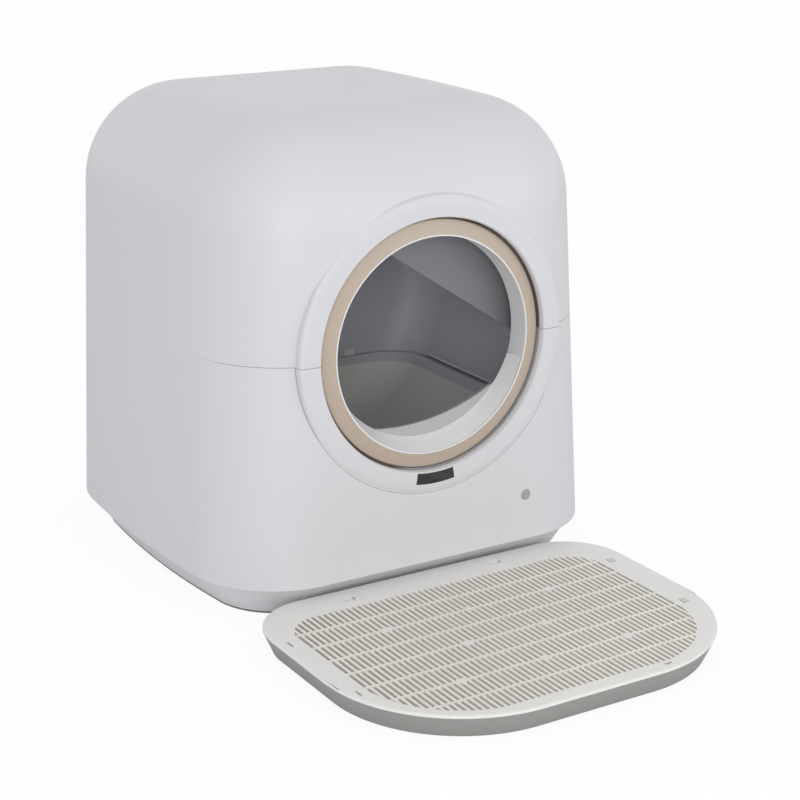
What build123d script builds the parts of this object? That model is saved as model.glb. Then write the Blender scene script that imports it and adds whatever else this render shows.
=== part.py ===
from build123d import *
import math
import os

os.makedirs("parts", exist_ok=True)

# Self-cleaning litter box: a rounded square housing with a round front
# entrance, a litter drum that turns on four rollers behind it, a waste drawer
# that slides out at the back and a loose litter-catching mat in front.
# Millimetres. +Z is up, the front faces -Y, the origin is on the floor under
# the middle of the footprint, mat included.

# ---------------------------------------------------------------- housing
body_width = 502.0        # widest, across the bowed sides at the bottom edge
body_depth = 497.0        # front face to rear face at the bottom edge
body_height = 525.0       # floor to top
base_rise = 36.0          # floor to the bottom edge of the housing
part_z = 280.0            # joint line between cover and lower body
side_bow = 20.0           # each side bulges by this between its corners
side_draft = 0.048        # sides lean in, mm per mm of height
rear_draft = 0.020        # rear leans in, mm per mm of height
front_corner = 105.0      # plan radius of the front corners, bottom
rear_corner = 131.5       # plan radius of the rear corners, bottom
front_corner_top = 127.0  # plan radius of the front corners, top
rear_corner_top = 121.0   # plan radius of the rear corners, top
crown_round = 115.0       # rounding between top and sides
wall = 3.5                # moulded wall
edge_round = 1.5          # lower edge of the housing
lip_height = 8.0          # tongue of the lower body, above and below the joint
lip_wall = 1.8
fit_gap = 0.3             # clearance between parts that nest

# ---------------------------------------------------------------- base
skirt_top_inset = 6.0     # skirt under the housing's bottom edge
skirt_foot_inset = 26.0
foot_height = 2.5         # rubber rim that the skirt stands on
foot_width = 9.0
floor_top = 27.0          # top of the base floor
floor_thick = 3.0
spigot_height = 9.0       # rim of the base that rises inside the lower body
skirt_wall = 4.0

# ---------------------------------------------------------------- entrance
axis_z = 281.0            # drum axis above the floor
bezel_bore = 138.3        # radius of the hole in the bezel
bezel_outer = 163.0       # radius of the bezel's outer edge
bezel_flat = 154.0        # radius where its soft outer shoulder starts
bezel_raise = 2.0         # bezel stands this proud of the front face
bezel_shoulder = 2.0      # its outer edge lies this far behind the front face
bezel_ease = 1.3          # softened edge of the bore
bezel_lead = 3.0          # the softening runs this far behind the front face
bezel_depth = 16.0        # collar behind the front face
bezel_back = 12.0         # rim of the ring, where the housing's corners fall back
bezel_thick = 5.5         # front plate of the lower ring
bezel_wall = 3.5
seat_radius = 158.8       # lower ring's core, in the half-round cut-out of the body
seal_wall = 1.6           # felt seal in the bore
seal_front = 5.0          # behind the front face
seal_length = 6.0
window_inner = 140.6      # display window, radii and half angle
window_outer = 153.3
window_half_angle = 9.2
window_thick = 2.2
window_recess = 0.4       # window face behind the bezel's face
board_thick = 1.2
button_x = 121.5
button_z = 90.0
button_radius = 5.8
button_proud = 0.7
button_travel = 1.5
button_flange = 1.2
switch_size = 22.0
switch_thick = 6.0
switch_post = 2.5

# ---------------------------------------------------------------- drum
drum_radius = 186.0       # outer
drum_wall = 3.0
drum_setback = 27.0       # front wall behind the front face
drum_length = 289.0
drum_back_round = 50.0
tunnel_radius = 118.0     # clear radius of the entrance
drum_margin = 3.0         # kept clear round the turning drum
trim_outer = 135.8
trim_front = 2.0          # inner edge of the trim ring, behind the front face
trim_dish = 4.3           # its outer edge lies this much further back
trim_lip = 1.5            # pale edge inside the trim ring
trim_round = 1.8
collar_setback = 9.0      # collar that carries the trim ring, behind the front face
collar_thick = 3.0
mouth_chamfer = 4.0
joint_y = 95.0            # front half meets rear half, behind the front face
fence_arc = 242.0         # radius of the fence's hollow top edge
fence_arc_x = -26.0
fence_low_z = 188.5       # lowest point of that edge
fence_thick = 4.0
fence_end = 96.0          # right end of the fence
fence_nub = 5.0
ramp_rise = 12.0          # threshold ramp in front of the fence
ramp_end = 30.0           # it stops this far below the drum axis
guard_gap = 13.0          # guard plate behind the drum's front wall
guard_angle = 33.6        # slope of the guard's lower edge
guard_offset = 62.0       # that edge's distance from the drum axis
guard_thick = 3.0
grate_offset = 96.0       # sieve's distance from the drum axis
grate_thick = 4.0
grate_slot = 12.0
grate_bar = 8.0
liner_wall = 2.5
liner_rim_z = 182.0
liner_bead = 3.0          # rim bead, beyond the liner's wall
liner_bead_height = 10.0
port_width = 96.0         # waste port in the drum, across
port_length = 150.0       # and along
wiper_wide = 6.0
wiper_thick = 3.0
wiper_round = 2.4
wiper_length = 165.0

# ---------------------------------------------------------------- drive
module = 3.0
ring_teeth = 96
pinion_teeth = 16
pressure_angle = 20.0
backlash = 0.5
gear_width = 12.0
pinion_width = 12.0
gear_bore = 118.0
pinion_offset = 1.0       # pinion behind the ring gear's front face
pinion_angle = 60.0       # from straight down, towards +X
shaft_radius = 4.0
shaft_fit = 0.05
gearbox_size = 62.0
gearbox_length = 40.0
motor_radius = 24.0
motor_length = 46.0
bracket_thick = 4.0
plate_gap = 4.0           # bracket behind the pinion
bracket_reach = 214.0
bracket_foot_long = 28.0

# ---------------------------------------------------------------- rollers
roller_radius = 15.0
roller_width = 20.0
roller_gap = 0.3
roller_angle = 38.0       # from straight down
axle_radius = 3.0
axle_fit = 0.05
cheek_gap = 1.0
cheek_thick = 4.0
cheek_round = 9.0
roller_rows = (70.0, 240.0)   # behind the front face
bracket_foot = 4.0
bracket_edge = 200.0

# ---------------------------------------------------------------- drawer
drawer_width = 290.0
drawer_setback = 85.0     # its inner end, behind the front face
drawer_top = 87.0
drawer_wall = 2.5
drawer_lift = 11.0        # its floor above the base floor
drawer_side_gap = 0.8
panel_margin = 6.0        # drawer panel beyond the drawer, each side
panel_thick = 5.0
panel_gap = 0.8
rail_wide = 5.0
rail_height = 14.0
rail_ledge = 14.0
rail_stop = 32.0          # rails end this far short of the rear face
rail_clearance = 60.0
panel_deep = 22.0
pull_wide = 104.0
pull_high = 26.0
pull_deep = 15.0

# ---------------------------------------------------------------- mat
mat_width = 442.0
mat_depth = 334.0
mat_height = 26.0
mat_tuck = 3.0            # back edge of the mat under the housing
mat_shift = -17.0         # it lies a little to the left
mat_back_corner = 70.0
mat_front_corner = 152.0
mat_taper = 10.0          # the tray's wall draws in towards the floor
mat_wall = 2.5
grid_thick = 3.0
grid_rim = 19.0           # plain border of the grid
grid_rows = 10
grid_columns = 28
grid_rib = 3.2            # between rows of slots
grid_bar = 8.5            # between slots of a row
pad_radius = 7.5
pad_pitch_x = 100.0
pad_pitch_y = 69.0
pad_mid_x = 46.0
pad_shift = -4.0          # pad pattern's middle beside the mat's middle
pad_back = 15.0           # and in front of it
pillar_radius = 5.0
clip_long = 10.0
clip_wide = 3.0
clip_inset_side = 17.0
clip_inset_back = 22.0
clip_inset_front = 13.0
clip_spread = 94.0
clip_back = 80.0
clip_front = -49.0
grid_lip = 3.0

# ---------------------------------------------------------------- electrics
board_wide = 44.0
board_long = 84.0
board_pcb = 1.6
board_setback = 335.0
standoff_height = 6.0
inlet_x = -80.0
inlet_z = 130.0
inlet_block = 16.0
inlet_deep = 13.0
inlet_radius = 5.5
inlet_bore = 3.1

# ---------------------------------------------------------------- derived
mat_reach = mat_depth - mat_tuck
front_y = (mat_reach - body_depth) / 2
rear_y = front_y + body_depth
drum_y = front_y + drum_setback
drum_back_y = drum_y + drum_length
drum_axis = Axis((0, 0, axis_z), (0, 1, 0))
inner_radius = drum_radius - drum_wall


def upright(y):
    """Sketch plane facing the front, at y, with its origin on the drum axis."""
    return Plane((0, y, axis_z), x_dir=(1, 0, 0), z_dir=(0, -1, 0))


def body_section(z, inset):
    """Plan of the housing at height z, drawn in by inset."""
    rise = z - base_rise
    share = rise / (body_height - base_rise)
    half = body_width / 2 - side_bow - side_draft * rise - inset
    near = front_y + inset
    far = rear_y - rear_draft * rise - inset
    mid = (near + far) / 2
    radius_near = front_corner + (front_corner_top - front_corner) * share
    radius_far = rear_corner + (rear_corner_top - rear_corner) * share
    with BuildSketch(Plane.XY.offset(z)) as section:
        with BuildLine():
            Line((-half, near), (half, near))
            ThreePointArc((half, near), (half + side_bow, mid), (half, far))
            Line((half, far), (-half, far))
            ThreePointArc((-half, far), (-half - side_bow, mid), (-half, near))
        make_face()
        fillet(section.vertices().group_by(Axis.Y)[0], radius_near - inset)
        fillet(section.vertices().group_by(Axis.Y)[-1], radius_far - inset)
    return section.sketch


def body_form(low_z, inset):
    """Closed form of the housing above low_z, drawn in by inset."""
    with BuildPart() as form:
        add(body_section(low_z, inset))
        add(body_section(body_height - inset, inset))
        loft(ruled=True)
        fillet(form.edges().group_by(Axis.Z)[-1], crown_round - inset)
    return form.part


def revolved(*points):
    """Solid of revolution about the drum axis from (y, radius) corners."""
    with BuildPart() as turned:
        with BuildSketch(Plane.YZ):
            with BuildLine():
                Polyline(*[(y, axis_z + r) for y, r in points], close=True)
            make_face()
        revolve(axis=drum_axis)
    return turned.part


# ---------------------------------------------------------------- housing shells
outer_form = body_form(base_rise, 0)
inner_form = body_form(base_rise, wall)
joint_plane = Plane.XY.offset(part_z)
bezel_front_y = front_y - bezel_raise
bezel_face = [
    (front_y + bezel_lead, bezel_bore),
    (front_y - bezel_raise * 0.3, bezel_bore + bezel_ease * 0.4),
    (bezel_front_y, bezel_bore + bezel_ease),
    (bezel_front_y, bezel_flat),
    (bezel_front_y + 0.15 * (bezel_raise + bezel_shoulder), (bezel_flat + bezel_outer) / 2),
    (bezel_front_y + 0.5 * (bezel_raise + bezel_shoulder), bezel_flat + 0.85 * (bezel_outer - bezel_flat)),
    (front_y + bezel_shoulder, bezel_outer),
    (front_y + bezel_back, bezel_outer),
]

# Upper cover: the shell above the joint, with the upper half of the bezel, which
# stands out where the housing's corners and crown fall back behind it.
with BuildPart() as cover_ring:
    add(revolved(*bezel_face, (front_y + bezel_back, bezel_bore)))
    add(inner_form, mode=Mode.SUBTRACT)
    add(revolved(
        (front_y + bezel_lead, bezel_bore),
        (front_y + bezel_lead, bezel_bore + bezel_wall),
        (front_y + bezel_depth, bezel_bore + bezel_wall),
        (front_y + bezel_depth, bezel_bore),
    ))
with BuildPart() as upper_cover:
    add(outer_form)
    add(inner_form, mode=Mode.SUBTRACT)
    split(bisect_by=joint_plane, keep=Keep.TOP)
    with BuildSketch(upright(front_y - 1)):
        Circle(bezel_bore)
    extrude(amount=-(bezel_depth + 1), mode=Mode.SUBTRACT)
    add(cover_ring.part)
    split(bisect_by=joint_plane, keep=Keep.TOP)
upper_cover.part.label = "upper_cover"
export_step(upper_cover.part, "parts/upper_cover.step")

# Lower body: walls from the base up to the joint, with a tongue that the
# cover drops over, a seat for the half-round bezel, the button's hole and the
# drawer's opening in the rear wall.
drawer_half = drawer_width / 2
panel_half = drawer_half + panel_margin
panel_top = drawer_top + 3.0
tongue_inset = wall + fit_gap + side_draft * 2 * lip_height
tongue_foot = part_z - lip_height

with BuildPart() as tongue_ring:
    add(body_section(tongue_foot, wall - 1.0))
    extrude(amount=lip_height)
    add(body_section(tongue_foot, tongue_inset))
    extrude(amount=2 * lip_height)
    add(body_section(tongue_foot, tongue_inset + lip_wall))
    extrude(amount=2 * lip_height, mode=Mode.SUBTRACT)
    with BuildSketch(upright(drum_y - drum_margin)):
        Circle(drum_radius + drum_margin)
    extrude(amount=-(drum_length + 2 * drum_margin), mode=Mode.SUBTRACT)

with BuildPart() as lower_body:
    add(outer_form)
    fillet(lower_body.edges().group_by(Axis.Z)[0], edge_round)
    add(inner_form, mode=Mode.SUBTRACT)
    split(bisect_by=joint_plane, keep=Keep.BOTTOM)
    add(tongue_ring.part)
    with BuildSketch(upright(front_y - 1)):
        Circle(seat_radius + fit_gap)
    extrude(amount=-(bezel_depth + 1), mode=Mode.SUBTRACT)
    with BuildSketch(upright(front_y - 1)):
        with Locations((button_x, button_z - axis_z)):
            Circle(button_radius + fit_gap)
    extrude(amount=-(wall + 2), mode=Mode.SUBTRACT)
    with BuildSketch(Plane.XZ.offset(-rear_y - 5)):
        with Locations((0, (base_rise + panel_top) / 2 + panel_gap / 2 - 2)):
            Rectangle(2 * (panel_half + panel_gap), panel_top - base_rise + panel_gap + 4)
    extrude(amount=30, mode=Mode.SUBTRACT)
    with BuildSketch(upright(rear_y + 1)):
        with Locations((inlet_x, inlet_z - axis_z)):
            Circle(inlet_radius + fit_gap)
    extrude(amount=30, mode=Mode.SUBTRACT)
lower_body.part.label = "lower_body"
export_step(lower_body.part, "parts/lower_body.step")

# Half-round bezel under the joint, with the pocket of the display window.
pocket_depth = window_thick + board_thick + window_recess


def window_outline(gap):
    """Arc-shaped window under the entrance, drawn in by gap."""
    reach = 2 * window_outer
    spread = reach * math.tan(math.radians(window_half_angle))
    Circle(window_outer - gap)
    Circle(window_inner + gap, mode=Mode.SUBTRACT)
    Polygon((0, 0), (-spread, -reach), (spread, -reach), align=None, mode=Mode.INTERSECT)


with BuildPart() as bezel_seat:
    add(outer_form)
    with BuildSketch(upright(front_y - 1)):
        Circle(seat_radius)
    extrude(amount=-(bezel_depth + 2), mode=Mode.SUBTRACT)
with BuildPart() as lower_bezel:
    add(revolved(
        *bezel_face,
        (front_y + bezel_back, seat_radius - bezel_wall),
        (bezel_front_y + bezel_thick, seat_radius - bezel_wall),
        (bezel_front_y + bezel_thick, bezel_bore + bezel_wall),
        (front_y + bezel_depth, bezel_bore + bezel_wall),
        (front_y + bezel_depth, bezel_bore),
    ))
    add(bezel_seat.part, mode=Mode.SUBTRACT)
    split(bisect_by=joint_plane, keep=Keep.BOTTOM)
    with BuildSketch(upright(bezel_front_y)):
        window_outline(0)
    extrude(amount=-pocket_depth, mode=Mode.SUBTRACT)
lower_bezel.part.label = "lower_bezel"
export_step(lower_bezel.part, "parts/lower_bezel.step")

with BuildPart() as display_window:
    with BuildSketch(upright(bezel_front_y + window_recess)):
        window_outline(0)
    extrude(amount=-window_thick)
display_window.part.label = "display_window"
export_step(display_window.part, "parts/display_window.step")

with BuildPart() as display_board:
    with BuildSketch(upright(bezel_front_y + window_recess + window_thick)):
        window_outline(fit_gap)
    extrude(amount=-board_thick)
display_board.part.label = "display_board"
export_step(display_board.part, "parts/display_board.step")

# Felt seal in the bore, round the turning trim ring.
seal_y = front_y + seal_front
seal_radius = bezel_bore - fit_gap
with BuildPart() as seal_ring:
    add(revolved(
        (seal_y, seal_radius - seal_wall),
        (seal_y, seal_radius),
        (seal_y + seal_length, seal_radius),
        (seal_y + seal_length, seal_radius - seal_wall),
    ))
seal_ring.part.label = "seal_ring"
export_step(seal_ring.part, "parts/seal_ring.step")

# Button, its stem, and the switch block it presses, which hangs from two posts
# behind the front wall.
button_back = front_y + wall + button_flange
with BuildPart() as control_button:
    with BuildSketch(upright(front_y - button_proud)):
        with Locations((button_x, button_z - axis_z)):
            Circle(button_radius)
    extrude(amount=-(button_proud + wall + button_travel))
    fillet(control_button.edges().group_by(Axis.Y)[0], 0.6)
    with BuildSketch(upright(front_y + wall + fit_gap)):
        with Locations((button_x, button_z - axis_z)):
            Circle(button_radius + 1.5)
    extrude(amount=-button_flange)
control_button.part.label = "control_button"
export_step(control_button.part, "parts/control_button.step")

switch_y = front_y + wall + fit_gap + button_flange + button_travel + fit_gap
with BuildPart() as switch_block:
    with BuildSketch(upright(switch_y)):
        with Locations((button_x, button_z - axis_z)):
            RectangleRounded(switch_size, switch_size, 2)
    extrude(amount=-switch_thick)
    with BuildSketch(upright(front_y + wall)):
        with Locations((button_x, button_z - axis_z)):
            with GridLocations(switch_size - switch_post, 0, 2, 1):
                Rectangle(switch_post, switch_size - 4)
    extrude(amount=-(switch_y - front_y - wall))
switch_block.part.label = "switch_block"
export_step(switch_block.part, "parts/switch_block.step")

# ---------------------------------------------------------------- base
spigot_inset = wall + fit_gap + skirt_top_inset
spigot_inner = spigot_inset + 3.2
skirt_slope = (skirt_foot_inset - skirt_top_inset) / (base_rise - foot_height)


def base_section(z, inset):
    """Plan of the base at height z, taken from the housing's bottom edge."""
    return body_section(base_rise, inset).moved(Location((0, 0, z - base_rise)))


def skirt_inset(z):
    """How far the sloping skirt is drawn in at height z."""
    return skirt_top_inset + skirt_slope * (base_rise - z)


with BuildPart() as base_pan:
    add(base_section(foot_height, skirt_foot_inset))
    add(base_section(base_rise, skirt_top_inset))
    loft(ruled=True)
    add(base_section(base_rise - 2, spigot_inset))
    extrude(amount=spigot_height + 2)
    add(base_section(floor_top, skirt_inset(floor_top) + skirt_wall))
    add(base_section(base_rise, spigot_inner))
    loft(ruled=True, mode=Mode.SUBTRACT)
    add(base_section(base_rise, spigot_inner))
    extrude(amount=spigot_height, mode=Mode.SUBTRACT)
    add(base_section(foot_height, skirt_foot_inset + foot_width))
    add(base_section(floor_top - floor_thick, skirt_inset(floor_top - floor_thick) + skirt_wall))
    loft(ruled=True, mode=Mode.SUBTRACT)
    with BuildSketch(Plane.XZ.offset(-rear_y)):
        with Locations((0, base_rise + spigot_height / 2)):
            Rectangle(2 * (panel_half + panel_gap), spigot_height)
    extrude(amount=rail_clearance, mode=Mode.SUBTRACT)
base_pan.part.label = "base_pan"
export_step(base_pan.part, "parts/base_pan.step")

with BuildPart() as foot_rim:
    add(base_section(0, skirt_foot_inset + 1))
    extrude(amount=foot_height)
    add(base_section(0, skirt_foot_inset + foot_width))
    extrude(amount=foot_height, mode=Mode.SUBTRACT)
foot_rim.part.label = "foot_rim"
export_step(foot_rim.part, "parts/foot_rim.step")


# ---------------------------------------------------------------- drum
def drum_cavity(near, gap):
    """Inside of the drum from near (behind the front face), drawn in by gap."""
    start = front_y + near
    end = drum_back_y - drum_wall - gap
    turn = drum_back_round - drum_wall - gap
    radius = inner_radius - gap
    with BuildPart() as form:
        with BuildSketch(Plane.YZ):
            with BuildLine():
                Polyline((start, axis_z), (start, axis_z + radius), (end - turn, axis_z + radius))
                RadiusArc((end - turn, axis_z + radius), (end, axis_z + radius - turn), turn)
                Polyline((end, axis_z + radius - turn), (end, axis_z), (start, axis_z))
            make_face()
        revolve(axis=drum_axis)
    return form.part


collar_y = front_y + collar_setback
trim_edge_y = front_y + trim_front + trim_dish
drum_joint_y = front_y + joint_y
tunnel_outer = tunnel_radius + drum_wall
with BuildPart() as drum_mouth:
    add(revolved(
        (front_y + trim_front, tunnel_radius),
        (front_y + trim_front, tunnel_radius + trim_lip),
        (collar_y, tunnel_radius + trim_lip),
        (collar_y, trim_outer),
        (collar_y + collar_thick, trim_outer),
        (collar_y + collar_thick, tunnel_outer),
        (drum_y, tunnel_outer),
        (drum_y, drum_radius - mouth_chamfer),
        (drum_y + mouth_chamfer, drum_radius),
        (drum_joint_y, drum_radius),
        (drum_joint_y, inner_radius),
        (drum_y + drum_wall, inner_radius),
        (drum_y + drum_wall, tunnel_radius),
    ))
drum_mouth.part.label = "drum_mouth"
export_step(drum_mouth.part, "parts/drum_mouth.step")

boss_outer = gear_bore - fit_gap
port_plane = Plane(
    (0, front_y + joint_y + port_length / 2 + 8, axis_z),
    x_dir=(0, 1, 0),
    z_dir=(math.sin(math.radians(guard_angle)), 0, math.cos(math.radians(guard_angle))),
)
with BuildPart() as drum_shell:
    with BuildSketch(Plane.YZ):
        with BuildLine():
            Polyline(
                (drum_joint_y, axis_z),
                (drum_joint_y, axis_z + drum_radius),
                (drum_back_y - drum_back_round, axis_z + drum_radius),
            )
            RadiusArc(
                (drum_back_y - drum_back_round, axis_z + drum_radius),
                (drum_back_y, axis_z + drum_radius - drum_back_round),
                drum_back_round,
            )
            Polyline(
                (drum_back_y, axis_z + drum_radius - drum_back_round),
                (drum_back_y, axis_z),
                (drum_joint_y, axis_z),
            )
        make_face()
    revolve(axis=drum_axis)
    add(drum_cavity(joint_y, 0), mode=Mode.SUBTRACT)
    add(revolved(
        (drum_back_y, boss_outer - drum_wall),
        (drum_back_y, boss_outer),
        (drum_back_y + gear_width, boss_outer),
        (drum_back_y + gear_width, boss_outer - drum_wall),
    ))
    with BuildSketch(port_plane.offset(grate_offset + 2 * grate_thick)):
        RectangleRounded(port_length, port_width, 8)
    extrude(amount=drum_radius, mode=Mode.SUBTRACT)
drum_shell.part.label = "drum_shell"
export_step(drum_shell.part, "parts/drum_shell.step")

with BuildPart() as trim_ring:
    add(revolved(
        (front_y + trim_front, tunnel_radius + trim_lip),
        (trim_edge_y, trim_outer - trim_round),
        (trim_edge_y + trim_round * 0.3, trim_outer - trim_round * 0.3),
        (trim_edge_y + trim_round, trim_outer),
        (collar_y, trim_outer),
        (collar_y, tunnel_radius + trim_lip),
    ))
trim_ring.part.label = "trim_ring"
export_step(trim_ring.part, "parts/trim_ring.step")

# Fence that keeps the litter back: a hollow-topped crescent across the bottom
# of the tunnel, with a threshold ramp in front that fades out to both sides.
fence_y = drum_y + drum_wall - fence_thick
ramp_y = front_y + trim_front + 1
with BuildPart() as litter_fence:
    with BuildSketch(upright(fence_y)) as crescent:
        Circle(tunnel_radius)
        with Locations((fence_arc_x, fence_low_z - axis_z + fence_arc)):
            Circle(fence_arc, mode=Mode.SUBTRACT)
        with Locations((fence_end + tunnel_radius, 0)):
            Rectangle(2 * tunnel_radius, 2 * tunnel_radius, mode=Mode.SUBTRACT)
        fillet(crescent.vertices().group_by(Axis.X)[-1].sort_by(Axis.Y)[-1], fence_nub)
    extrude(amount=-fence_thick)
    with BuildSketch(upright(ramp_y)):
        Circle(tunnel_radius)
    extrude(amount=-(fence_y - ramp_y))
    with BuildSketch(upright(ramp_y)):
        Circle(tunnel_radius + 0.5)
    with BuildSketch(upright(fence_y)):
        with Locations((0, ramp_rise)):
            Circle(tunnel_radius)
    loft(ruled=True, mode=Mode.SUBTRACT)
    split(bisect_by=Plane.XY.offset(axis_z - ramp_end), keep=Keep.BOTTOM)
litter_fence.part.label = "litter_fence"
export_step(litter_fence.part, "parts/litter_fence.step")

# Guard plate behind the front wall and the sieve behind it, both parallel to
# the same slanting line, which close off the waste side of the drum.
guard_dir = (math.sin(math.radians(guard_angle)), math.cos(math.radians(guard_angle)))


def beyond_chord(offset):
    """Cut a sketch back to what lies beyond the slanting line."""
    middle = offset - drum_radius
    with Locations((guard_dir[0] * middle, guard_dir[1] * middle)):
        Rectangle(2 * drum_radius, 2 * drum_radius, rotation=-guard_angle, mode=Mode.SUBTRACT)


guard_y = drum_y + drum_wall + guard_gap
with BuildPart() as guard_plate:
    with BuildSketch(upright(guard_y)):
        Circle(inner_radius)
        beyond_chord(guard_offset)
    extrude(amount=-guard_thick)
guard_plate.part.label = "guard_plate"
export_step(guard_plate.part, "parts/guard_plate.step")

grate_start = guard_y + guard_thick
grate_end = drum_back_y - drum_wall
slot_pitch = grate_slot + grate_bar
slot_count = int((2 * math.sqrt(inner_radius ** 2 - grate_offset ** 2) - 2 * drum_back_round) / slot_pitch)
with BuildPart() as sieve_grate:
    with BuildSketch(Plane(
        (0, (grate_start + grate_end) / 2, axis_z),
        x_dir=(0, 1, 0),
        z_dir=port_plane.z_dir,
    ).offset(grate_offset)):
        Rectangle(grate_end - grate_start, 2 * inner_radius)
        with GridLocations(0, slot_pitch, 1, slot_count):
            SlotOverall(grate_end - grate_start - 2 * drum_back_round, grate_slot, mode=Mode.SUBTRACT)
    extrude(amount=grate_thick)
    add(drum_cavity(grate_start - front_y, 0), mode=Mode.INTERSECT)
sieve_grate.part.label = "sieve_grate"
export_step(sieve_grate.part, "parts/sieve_grate.step")

# Litter liner: a tub that follows the lower inside of the drum, with a beaded
# rim just below the level of the fence.
liner_near = drum_setback + drum_wall + fit_gap
rim_plane = Plane.XY.offset(liner_rim_z)
with BuildPart() as liner_bead_ring:
    add(drum_cavity(liner_near, fit_gap))
    add(drum_cavity(liner_near + liner_wall + liner_bead, fit_gap + liner_wall + liner_bead),
        mode=Mode.SUBTRACT)
    split(bisect_by=rim_plane, keep=Keep.BOTTOM)
    split(bisect_by=rim_plane.offset(-liner_bead_height), keep=Keep.TOP)
with BuildPart() as drum_liner:
    add(drum_cavity(liner_near, fit_gap))
    add(drum_cavity(liner_near + liner_wall, fit_gap + liner_wall), mode=Mode.SUBTRACT)
    split(bisect_by=rim_plane, keep=Keep.BOTTOM)
    add(liner_bead_ring.part)
    with BuildSketch(upright(front_y + liner_near - 1)):
        Circle(tunnel_outer)
    extrude(amount=-(liner_wall + liner_bead + 2), mode=Mode.SUBTRACT)
drum_liner.part.label = "drum_liner"
export_step(drum_liner.part, "parts/drum_liner.step")

# Wiper strip along the right wall, just above the liner's rim.
wiper_radius = inner_radius - wiper_thick - wiper_wide ** 2 / (8 * inner_radius)
wiper_drop = axis_z - liner_rim_z - wiper_wide / 2 - 1
wiper_turn = math.degrees(math.acos(wiper_drop / wiper_radius))
with BuildPart() as wiper_strip:
    with BuildSketch(Plane(
        (0, front_y + joint_y + wiper_length / 2, axis_z),
        x_dir=(0, 1, 0),
        z_dir=(math.sin(math.radians(wiper_turn)), 0, -math.cos(math.radians(wiper_turn))),
    ).offset(wiper_radius)):
        RectangleRounded(wiper_length, wiper_wide, wiper_round)
    extrude(amount=wiper_thick)
wiper_strip.part.label = "wiper_strip"
export_step(wiper_strip.part, "parts/wiper_strip.step")


# ---------------------------------------------------------------- gears
def flank_angle(teeth, radius):
    """Half the angle that a tooth spans at radius, in radians."""
    pitch = module * teeth / 2
    base = pitch * math.cos(math.radians(pressure_angle))
    at_pitch = math.acos(base / pitch)
    at_radius = math.acos(min(1.0, base / radius))
    swell = (math.tan(at_pitch) - at_pitch) - (math.tan(at_radius) - at_radius)
    return math.pi / (2 * teeth) - backlash / (2 * pitch) + swell


def gear_outline(teeth, turn):
    """Corners of a spur gear, with straight flanks inside the involute."""
    pitch = module * teeth / 2
    radii = (pitch - 1.25 * module, pitch - 0.3 * module, pitch + 0.3 * module, pitch + 0.95 * module)
    corners = []
    for tooth in range(teeth):
        middle = turn + 2 * math.pi * tooth / teeth
        sides = [(r, -flank_angle(teeth, r)) for r in radii]
        sides += [(r, flank_angle(teeth, r)) for r in reversed(radii)]
        corners += [(r * math.cos(middle + a), r * math.sin(middle + a)) for r, a in sides]
    return corners


pinion_distance = module * (ring_teeth + pinion_teeth) / 2
pinion_x = pinion_distance * math.sin(math.radians(pinion_angle))
pinion_z = axis_z - pinion_distance * math.cos(math.radians(pinion_angle))
toward_pinion = math.radians(pinion_angle - 90)
with BuildPart() as ring_gear:
    with BuildSketch(upright(drum_back_y)):
        Polygon(*gear_outline(ring_teeth, toward_pinion), align=None)
        Circle(gear_bore, mode=Mode.SUBTRACT)
    extrude(amount=-gear_width)
ring_gear.part.label = "ring_gear"
export_step(ring_gear.part, "parts/ring_gear.step")

pinion_y = drum_back_y + pinion_offset
gap_turn = toward_pinion + math.pi + math.pi / pinion_teeth
with BuildPart() as drive_pinion:
    with BuildSketch(upright(pinion_y)):
        with Locations((pinion_x, pinion_z - axis_z)):
            Polygon(*gear_outline(pinion_teeth, gap_turn), align=None)
            Circle(shaft_radius, mode=Mode.SUBTRACT)
    extrude(amount=-pinion_width)
drive_pinion.part.label = "drive_pinion"
export_step(drive_pinion.part, "parts/drive_pinion.step")

plate_y = pinion_y + pinion_width + plate_gap
gearbox_y = plate_y + bracket_thick
shaft_end_y = gearbox_y + gearbox_length / 2
with BuildPart() as pinion_shaft:
    with BuildSketch(upright(pinion_y)):
        with Locations((pinion_x, pinion_z - axis_z)):
            Circle(shaft_radius)
    extrude(amount=-(shaft_end_y - pinion_y))
pinion_shaft.part.label = "pinion_shaft"
export_step(pinion_shaft.part, "parts/pinion_shaft.step")

with BuildPart() as gear_motor:
    with BuildSketch(upright(gearbox_y)):
        with Locations((pinion_x, pinion_z - axis_z)):
            RectangleRounded(gearbox_size, gearbox_size, 8)
    extrude(amount=-gearbox_length)
    with BuildSketch(upright(gearbox_y)):
        with Locations((pinion_x, pinion_z - axis_z)):
            Circle(shaft_radius + shaft_fit)
    extrude(amount=-(gearbox_length / 2 + 1), mode=Mode.SUBTRACT)
    with BuildSketch(upright(gearbox_y + gearbox_length)):
        with Locations((pinion_x, pinion_z - axis_z)):
            Circle(motor_radius)
    extrude(amount=-motor_length)
    chamfer(gear_motor.edges().group_by(Axis.Y)[-1], 2)
gear_motor.part.label = "gear_motor"
export_step(gear_motor.part, "parts/gear_motor.step")

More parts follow.
